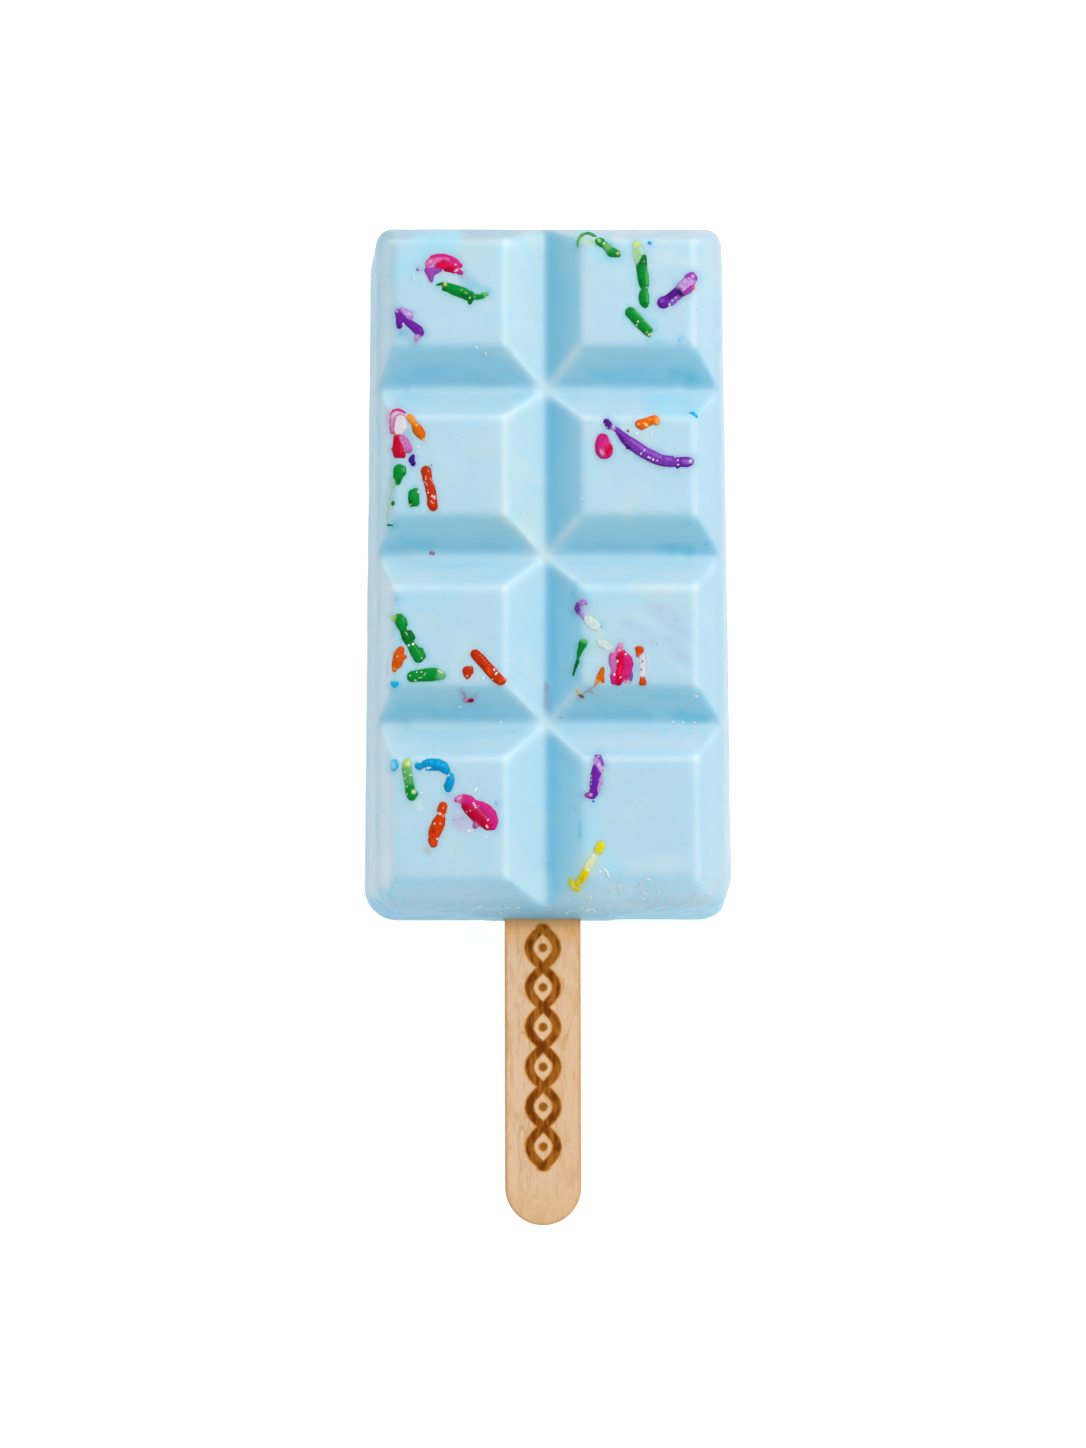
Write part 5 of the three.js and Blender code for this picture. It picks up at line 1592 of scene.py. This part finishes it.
plateau = bar_high.z
stands_out = bulges(bar.data)
light_and_shade_tones = []
for vertex, bulge in zip(bar.data.vertices, stands_out):
    spot, facing = vertex.co, vertex.normal
    deep = ease((plateau - spot.z) / (plateau - rim_height), 0, 1)
    to_stick = (face_far - spot.y) / (face_far - face_near)
    out_x = spot.x < face_left + BORDER or spot.x > face_right - BORDER
    out_y = spot.y < face_near + BORDER or spot.y > face_far - BORDER
    sides = (
        ("left", -facing.x, out_x), ("right", facing.x, out_x),
        ("near", -facing.y, out_y), ("far", facing.y, out_y),
    )
    colour = CLEAN
    # Painted light and shade by facing: each side blends in its own multiplier, more as the slope turns
    # that way and lies deeper.
    for side, share, outside in sides:
        high_tone, deep_tone = (OUTSIDE_LIGHT_AND_SHADE if outside else IN_GROOVE_LIGHT_AND_SHADE)[side]
        reached = ease(deep, OUTSIDE_DEEP_FROM, 1) if outside else deep
        side_tone = blend(high_tone, deep_tone, reached)
        if side == "left":
            share_left = to_stick if outside else LEFT_NEAR_SHARE * to_stick ** 2
            side_tone = multiply(side_tone, LEFT_NEAR_LIGHT, share_left)
        if side == "far" and outside:
            side_tone = multiply(side_tone, FAR_RIGHT_LIGHT, ease(spot.x, *FAR_RIGHT_SPAN))
        if side == "near" and outside:
            side_tone = multiply(side_tone, NEAR_RIGHT_LIGHT, ease(spot.x, *NEAR_RIGHT_SPAN))
        crisp = CRISPNESS * (1 - deep)
        turned = ease(share, SLOPE_FROM + crisp, SLOPE_FULL + crisp / 2)
        colour = blend(colour, side_tone, turned)
    # Painted highlight along the mitres and where the grooves cross.
    colour = blend(colour, MITRE_HIGHLIGHT, MITRE_SHARE * on_mitre(spot))
    if spot.z > plateau - EDGE_LIGHT_DEPTH:
        # Painted light along the squares' right and far edges, a painted highlight on the ridges, and
        # painted light along the squares' near edges.
        glow = painted_edge_light(spot)
        colour = multiply(colour, EDGE_LIGHT_TONE, glow)
        colour = multiply(colour, RIDGE_HIGHLIGHT, glow ** 2 * ease(bulge, *RIDGE_BULGE))
        low_edge = min(abs(spot.y - line - cross_half_far) for line in cross_grooves)
        colour = multiply(colour, EDGE_LIGHT_TONE, LOW_EDGE_SHARE * (1 - ease(low_edge, 0, LOW_EDGE_REACH)))
    elif spot.z < rim_height - WALL_START:
        # Painted shade on the near wall below the rim.
        if facing.y < LOOKS_NEAR:
            below_rim = ease(rim_height - WALL_START - spot.z, 0, WALL_FADE)
            colour = multiply(colour, NEAR_WALL_SHADE, below_rim)
    elif spot.z < GROOVE_HEIGHT + VALLEY_HEIGHT:
        # Painted shade along the bottoms of the grooves.
        aside = abs(spot.x - long_groove - LONG_VALLEY_SHIFT)
        if not out_y:
            in_line = 1 - ease(aside, VALLEY_CORE, LONG_VALLEY_REACH)
            colour = multiply(colour, LONG_VALLEY_SHADE, in_line * (1 - on_mitre(spot)))
        if not out_x:
            below = min(abs(spot.y - line + CROSS_VALLEY_SHIFT) for line in cross_grooves)
            in_line = 1 - ease(below, VALLEY_CORE, CROSS_VALLEY_REACH)
            colour = multiply(colour, CROSS_VALLEY_SHADE, in_line * (1 - on_mitre(spot)))
    light_and_shade_tones.append(Vector(colour))

# %% [markdown]
# Light spreads inside the ice, so the painted light and shade get no hard border. Each vertex
# takes the middle of its own tone and its neighbours', once everywhere and twice more down in the grooves.

# %% Soften the painted light and shade
SOFTENINGS = 3
SOFT_DEPTH = 2.2 * MM
in_valley = [vertex.co.z < plateau - SOFT_DEPTH for vertex in bar.data.vertices]
for softening in range(SOFTENINGS):
    totals = [tone_here.copy() for tone_here in light_and_shade_tones]
    counts = [1] * len(light_and_shade_tones)
    for edge in bar.data.edges:
        first, second = edge.vertices
        totals[first] += light_and_shade_tones[second]
        totals[second] += light_and_shade_tones[first]
        counts[first] += 1
        counts[second] += 1
    light_and_shade_tones = [
        total / count if low or not softening else old
        for total, count, low, old in zip(totals, counts, in_valley, light_and_shade_tones)
    ]
# The painted light and shade are kept on the vertices as a colour that the ice multiplies by.
painted_light_and_shade = bar.data.color_attributes.new("painted_light_and_shade", "FLOAT_COLOR", "POINT")
for mark, colour in zip(painted_light_and_shade.data, light_and_shade_tones):
    mark.color = (*colour, 1)
print("toned", len(light_and_shade_tones), "vertices")

# %% [markdown]
# ## Materials
# Every material is built from nodes. A small helper adds them one by one and wires them.

# %% A helper for materials
class Shader:
    """A material's nodes, added one by one and wired by name."""

    def __init__(self, name):
        self.material = bpy.data.materials.new(name)
        self.material.use_nodes = True
        self.tree = self.material.node_tree
        self.surface = self.tree.nodes["Principled BSDF"]

    def wire(self, value, socket):
        if isinstance(value, bpy.types.NodeSocket):
            self.tree.links.new(value, socket)
        else:
            socket.default_value = value

    def set(self, **inputs):
        for name, value in inputs.items():
            self.wire(value, self.surface.inputs[name.replace("_", " ")])

    def place(self, stretch=(1, 1, 1)):
        """Object coordinates, stretched per axis."""
        where = self.tree.nodes.new("ShaderNodeTexCoord")
        mapping = self.tree.nodes.new("ShaderNodeMapping")
        self.wire(where.outputs["Object"], mapping.inputs["Vector"])
        mapping.inputs["Scale"].default_value = stretch
        return mapping.outputs["Vector"]

    def noise(self, size, detail=3, stretch=(1, 1, 1), warp=0):
        """Cloudy noise between 0 and 1; size is a cloud's width in metres."""
        node = self.tree.nodes.new("ShaderNodeTexNoise")
        self.wire(self.place(stretch), node.inputs["Vector"])
        node.inputs["Scale"].default_value = 1 / size
        node.inputs["Detail"].default_value = detail
        node.inputs["Distortion"].default_value = warp
        return node.outputs["Fac"]

    def math(self, operation, first, second=0.0):
        node = self.tree.nodes.new("ShaderNodeMath")
        node.operation = operation
        for value, socket in zip((first, second), node.inputs):
            self.wire(value, socket)
        return node.outputs[0]

    def times(self, first, second):
        return self.math("MULTIPLY", first, second)

    def plus(self, first, second):
        return self.math("ADD", first, second)

    def minus(self, first, second):
        return self.math("SUBTRACT", first, second)

    def distance(self, across, along):
        return self.math("SQRT", self.plus(self.times(across, across), self.times(along, along)))

    def fade(self, value, low, high, start=0.0, end=1.0):
        """Maps low..high softly onto start..end."""
        node = self.tree.nodes.new("ShaderNodeMapRange")
        node.interpolation_type = "SMOOTHSTEP"
        for amount, socket in zip((value, low, high, start, end), node.inputs):
            self.wire(amount, socket)
        return node.outputs[0]

    def mix(self, share, under, over, blend_type="MIX"):
        node = self.tree.nodes.new("ShaderNodeMix")
        node.data_type = "RGBA"
        node.blend_type = blend_type
        self.wire(share, node.inputs[0])
        self.wire(under, node.inputs[6])
        self.wire(over, node.inputs[7])
        return node.outputs[2]

    def attribute(self, name):
        node = self.tree.nodes.new("ShaderNodeAttribute")
        node.attribute_name = name
        return node

    def bump(self, height, depth, strength=1.0):
        node = self.tree.nodes.new("ShaderNodeBump")
        self.wire(height, node.inputs["Height"])
        node.inputs["Distance"].default_value = depth
        node.inputs["Strength"].default_value = strength
        self.wire(node.outputs["Normal"], self.surface.inputs["Normal"])


# %% [markdown]
# ## Milky ice
# The mix is milky, so light goes in, spreads a millimetre or two and comes out bluer. It is
# a little uneven: paler lilac where there is more air, and more cyan where there is less.
# The surface is waxy, with a fine frost that only shows as a soft grain.

# %% Milky ice
ICE = (0.455, 0.63, 0.705, 1)
ICE_CLEAR = (0.405, 0.62, 0.735, 1)
ICE_AIRY = (0.5, 0.64, 0.7, 1)
ICE_VEIL = (0.385, 0.62, 0.735, 1)
RIME = (0.6, 0.7, 0.77, 1)
LIGHT_SPREAD = (0.5, 0.8, 1.0)
ice = Shader("milky_ice")
body = ice.mix(ice.fade(ice.noise(16 * MM, 2), 0.35, 0.7), ICE_CLEAR, ICE)
body = ice.mix(ice.fade(ice.noise(5 * MM, 3, warp=0.6), 0.5, 0.75, 0, 0.5), body, ICE_AIRY)
body = ice.mix(ice.fade(ice.noise(8 * MM, 4, warp=1.2), 0.52, 0.6, 0, 0.6), body, ICE_VEIL)
# Painted light and shade: the ice colour is multiplied by the painted tones.
body = ice.mix(1.0, body, ice.attribute("painted_light_and_shade").outputs["Color"], "MULTIPLY")
where_ice = ice.tree.nodes.new("ShaderNodeSeparateXYZ")
ice.wire(ice.place(), where_ice.inputs[0])
at_end = ice.fade(where_ice.outputs[1], near_end + 1.5 * MM, near_end + 5.5 * MM, 1, 0)
cloudy = ice.fade(ice.noise(1.4 * MM, 4, warp=0.5), 0.48, 0.62, 0, 0.4)
ragged = ice.times(ice.fade(ice.noise(0.75 * MM, 5, warp=1.5), 0.6, 0.66),
                   ice.fade(ice.noise(3 * MM, 2), 0.45, 0.6, 0, 0.85))
on_face = ice.fade(where_ice.outputs[2], rim_height - 3 * MM, rim_height + 0.5 * MM, 0.12, 1)
at_end = ice.times(at_end, on_face)
body = ice.mix(ice.times(at_end, ice.math("MAXIMUM", cloudy, ragged)), body, RIME)
# The dye, with the painted shade of the valleys and low slopes, tints the ice.
soaked = ice.attribute("dye_and_shade")
patchy = ice.fade(ice.noise(1.6 * MM, 3, warp=0.4), 0.3, 0.65, 0.45, 1.0)
body = ice.mix(ice.times(soaked.outputs["Alpha"], patchy), body, soaked.outputs["Color"])
ice.set(Base_Color=body, IOR=1.31, Subsurface_Weight=0.5, Subsurface_Scale=1.2 * MM,
        Roughness=ice.fade(ice.noise(2.5 * MM, 4), 0.3, 0.7, 0.36, 0.52))
ice.surface.inputs["Subsurface Radius"].default_value = LIGHT_SPREAD
fine_frost = ice.times(ice.noise(0.2 * MM, 2), 0.08)
ice.bump(ice.plus(ice.noise(2 * MM, 3), fine_frost), 0.04 * MM)
bar.data.materials.append(ice.material)

# %% [markdown]
# ## Wet sugar
# Each kind of sprinkle is painted already, vertex by vertex. The material adds what is finer
# than the mesh: a mottle in the dye, a few clear grains, and a wet surface.

# %% Wet sugar
CLEAR_GRAIN = (0.75, 0.8, 0.82, 1)


def wet_sugar(piece, name):
    sugar = Shader(name)
    tint = sugar.attribute("tint").outputs["Color"]
    mottle = sugar.fade(sugar.noise(0.4 * MM, 3), 0.3, 0.7, 0.91, 1.08)
    shade = sugar.tree.nodes.new("ShaderNodeCombineColor")
    for socket in shade.inputs:
        sugar.wire(mottle, socket)
    colour = sugar.mix(1.0, tint, shade.outputs[0], "MULTIPLY")
    grains = sugar.fade(sugar.noise(0.16 * MM, 1), 0.72, 0.78, 0, 0.08)
    colour = sugar.mix(grains, colour, CLEAR_GRAIN)
    sugar.set(Base_Color=colour, Roughness=0.25, IOR=1.45, Specular_IOR_Level=0.04,
              Subsurface_Weight=0.1, Subsurface_Scale=0.3 * MM)
    sugar.bump(sugar.noise(0.3 * MM, 2), 0.015 * MM)
    piece.data.materials.append(sugar.material)


for piece, name in ((green, "green_sugar"), (purple, "purple_sugar"), (pink, "pink_sugar"),
                    (orange, "orange_sugar"), (blue, "blue_sugar"), (yellow, "yellow_sugar"),
                    (specks, "speck_dye"), (frost, "frost_crystal")):
    wet_sugar(piece, name)

# %% [markdown]
# ## Birch with a burnt pattern
# The stick is bare birch: fine fibres along it, a few darker pores, and an amber stain where
# it enters the ice and at its free end. Near the ice the amber is also painted brighter, as painted
# light against the bar's shadow, and right at the ice the wood is a darker brown, partly a wet
# stain and partly painted shade. A plain braid is burnt into its face.

# %% Birch
BIRCH = (0.69, 0.475, 0.295, 1)
BIRCH_DARK = (0.58, 0.33, 0.16, 1)
BIRCH_PALE = (0.735, 0.54, 0.37, 1)
RING_BROWN = (0.56, 0.31, 0.12, 1)
PORE = (0.46, 0.23, 0.085, 1)
FLECK = (0.8, 0.61, 0.42, 1)
RIM_BROWN = (0.52, 0.25, 0.08, 1)
# The mouth colours hold painted light and painted shade as well as stain.
MOUTH_BROWN_AND_SHADE = (0.38, 0.205, 0.08, 1)
LIT_MOUTH_AMBER = (0.91, 0.455, 0.125, 1)
END_AMBER = (0.66, 0.42, 0.2, 1)
BURNT = (0.158, 0.034, 0.002, 1)
SCORCHED = (0.37, 0.122, 0.012, 1)
TOASTED = (0.6, 0.27, 0.055, 1)
wood = Shader("birch")
figure = wood.noise(3.2 * MM, 4, (1, 0.4, 1), 1.4)
grain = wood.noise(1.0 * MM, 4, (1, 0.12, 1), 1.2)
fine = wood.noise(0.2 * MM, 3, (1, 0.14, 1), 0.4)
timber = wood.mix(wood.fade(figure, 0.46, 0.68, 0, 0.6), BIRCH, BIRCH_DARK)
timber = wood.mix(wood.fade(grain, 0.52, 0.7, 0, 0.7), timber, BIRCH_DARK)
timber = wood.mix(wood.fade(fine, 0.42, 0.7, 0, 0.7), timber, BIRCH_PALE)
flecks = wood.noise(0.42 * MM, 2, (1, 0.35, 1), 0.8)
timber = wood.mix(wood.fade(flecks, 0.66, 0.74, 0, 0.5), timber, FLECK)
rings = wood.noise(4.5 * MM, 3, (1, 0.16, 1), 1.2)
line_near = wood.math("ABSOLUTE", wood.minus(rings, 0.5))
faint = wood.fade(wood.noise(3 * MM, 2), 0.4, 0.6, 0.2, 0.75)
ring_lines = wood.times(wood.fade(line_near, 0.004, 0.022, 1, 0), faint)
timber = wood.mix(ring_lines, timber, RING_BROWN)
pores = wood.noise(0.36 * MM, 2, (1, 0.16, 1), 1.0)
timber = wood.mix(wood.fade(pores, 0.67, 0.75, 0, 0.5), timber, PORE)


def plane_place(column, row, height):
    """Where the camera's ray through that pixel reaches the given height."""
    eye, direction = sight_line(column, row)
    return eye + direction * ((height - eye.z) / direction.z)


BRAID_COLUMN = 542
BRAID_TOP_ROW = 928
BRAID_END_ROW = 1167
stick_top = stick_high.z
braid_far = plane_place(BRAID_COLUMN, BRAID_TOP_ROW, stick_top).y
braid_near = plane_place(BRAID_COLUMN, BRAID_END_ROW, stick_top).y
EYES = 6
SWING = 1.8 * MM
STROKE = 0.55 * MM
DOT = 0.5 * MM
eye_length = (braid_far - braid_near) / EYES
where = wood.tree.nodes.new("ShaderNodeSeparateXYZ")
wood.wire(wood.place(), where.inputs[0])
waver = wood.times(wood.minus(wood.noise(0.5 * MM, 2), 0.5), 0.25 * MM)
across = wood.plus(wood.minus(where.outputs[0], stick_middle.x), waver)
along = wood.minus(where.outputs[1], braid_near)
in_braid = wood.math("MAXIMUM", wood.math("MINIMUM", along, braid_far - braid_near), 0.0)
beyond_braid = wood.minus(along, in_braid)
phase = wood.times(in_braid, math.pi / eye_length)
swing = wood.times(wood.math("SINE", phase), SWING)
slope = wood.times(wood.math("COSINE", phase), SWING * math.pi / eye_length)
stretch = wood.math("SQRT", wood.plus(wood.times(slope, slope), 1.0))
strands = [
    wood.math("DIVIDE", wood.math("ABSOLUTE", wood.math(side, across, swing)), stretch)
    for side in ("SUBTRACT", "ADD")
]
nearest = wood.math("MINIMUM", *strands)
strand = wood.distance(nearest, beyond_braid)
eye_share = wood.minus(wood.math("FRACT", wood.math("DIVIDE", along, eye_length)), 0.5)
eye_offset = wood.times(eye_share, eye_length)
spot = wood.distance(across, eye_offset)
drawn = wood.math("MAXIMUM", wood.fade(strand, STROKE * 0.8, STROKE * 1.2, 1, 0),
                  wood.fade(spot, DOT * 0.8, DOT * 1.3, 1, 0))
glow = wood.math("MAXIMUM", wood.fade(strand, STROKE * 1.1, STROKE * 1.5, 0.9, 0),
                 wood.fade(spot, DOT * 1.1, DOT * 1.6, 0.9, 0))
inside = wood.math("LESS_THAN", wood.math("ABSOLUTE", beyond_braid), STROKE * 1.8)
top_face = wood.fade(where.outputs[2], stick_top - 0.3 * MM, stick_top - 0.1 * MM)
burn = wood.times(wood.times(drawn, inside), top_face)
char = wood.mix(wood.fade(wood.noise(0.8 * MM, 3, (1, 0.3, 1), 0.4), 0.4, 0.66), BURNT, SCORCHED)
char = wood.mix(wood.fade(strand, STROKE * 0.55, STROKE, 0, 0.6), char, SCORCHED)
toast = wood.times(wood.times(glow, inside), top_face)
blotchy = wood.times(wood.minus(wood.noise(0.8 * MM, 3), 0.5), 1.5 * MM)
to_mouth = wood.plus(where.outputs[1], blotchy)
# Amber stain near the ice, also painted lighter as painted light against the bar's shadow.
amber_stain_and_light = wood.fade(to_mouth, near_end - 3.6 * MM, near_end - 0.3 * MM, 0, 0.55)
end_stain = wood.fade(to_mouth, stick_low.y + 2 * MM, stick_low.y + 6 * MM, 0.35, 0)
# Darker brown right at the ice: partly a wet stain, partly painted shade.
wet_and_shaded = wood.fade(to_mouth, near_end - 0.5 * MM, near_end + 0.1 * MM, 0, 0.15)
end_centre = stick_low.y + stick_size.x / 2
beyond = wood.math("MINIMUM", wood.minus(where.outputs[1], end_centre), 0.0)
aside = wood.minus(where.outputs[0], stick_middle.x)
radius = wood.distance(aside, beyond)
rim = wood.fade(wood.plus(radius, wood.times(blotchy, 0.3)),
                stick_size.x * 0.44, stick_size.x * 0.495, 0, 0.7)
timber = wood.mix(rim, timber, RIM_BROWN)
timber = wood.mix(wood.fade(where.outputs[0], -6 * MM, 4 * MM, 0, 0.2), timber, BIRCH_DARK)
timber = wood.mix(amber_stain_and_light, timber, LIT_MOUTH_AMBER)
timber = wood.mix(end_stain, timber, END_AMBER)
timber = wood.mix(wet_and_shaded, timber, MOUTH_BROWN_AND_SHADE)
timber = wood.mix(toast, timber, TOASTED)
wood.set(Base_Color=wood.mix(burn, timber, char), Roughness=0.62)
wood.set(Specular_IOR_Level=wood.fade(burn, 0, 1, 0.15, 0.02))
wood.bump(wood.minus(wood.times(grain, 0.3), burn), 0.08 * MM)
stick.data.materials.append(wood.material)

# %% [markdown]
# ## The table and the light
# The photo is a product shot on pure white. The table is white and glows a little, like a
# light table, so that shadows stay faint. The key light is a large soft box beyond the far
# right corner of the bar, and the white room fills in the rest.

# %% Light table, soft box and room
TABLE_SIZE = 2
PAPER_GREY = (0.4, 0.4, 0.4, 1)
PAPER_GLOW = 0.8
PURE_WHITE = (1, 1, 1, 1)
bpy.ops.mesh.primitive_plane_add(size=TABLE_SIZE, location=(0, 0, 0))
floor = bpy.context.object
floor.name = "light_table"
floor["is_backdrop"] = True
paper = Shader("white_paper")
paper.set(Base_Color=PAPER_GREY, Roughness=0.9, Emission_Color=PURE_WHITE, Emission_Strength=PAPER_GLOW)
floor.data.materials.append(paper.material)

KEY_POWER = 7
KEY_SIZE = 0.6
KEY_PLACE = (0.42, 0.45, 0.82)
ROOM_LIGHT = 0.66
key_data = bpy.data.lights.new("soft_box", "AREA")
key_data.energy = KEY_POWER
key_data.size = KEY_SIZE
key = bpy.data.objects.new("soft_box", key_data)
key.location = KEY_PLACE
key.rotation_euler = key.location.to_track_quat("Z", "Y").to_euler()
bpy.context.scene.collection.objects.link(key)
room = bpy.data.worlds.new("white_room")
bpy.context.scene.world = room
room.use_nodes = True
room.node_tree.nodes["Background"].inputs["Color"].default_value = PURE_WHITE
room.node_tree.nodes["Background"].inputs["Strength"].default_value = ROOM_LIGHT
bpy.context.scene.view_settings.view_transform = "Standard"

# %% Finish
low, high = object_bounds()
print("visual model, mm:", [round(side / MM, 2) for side in high - low])
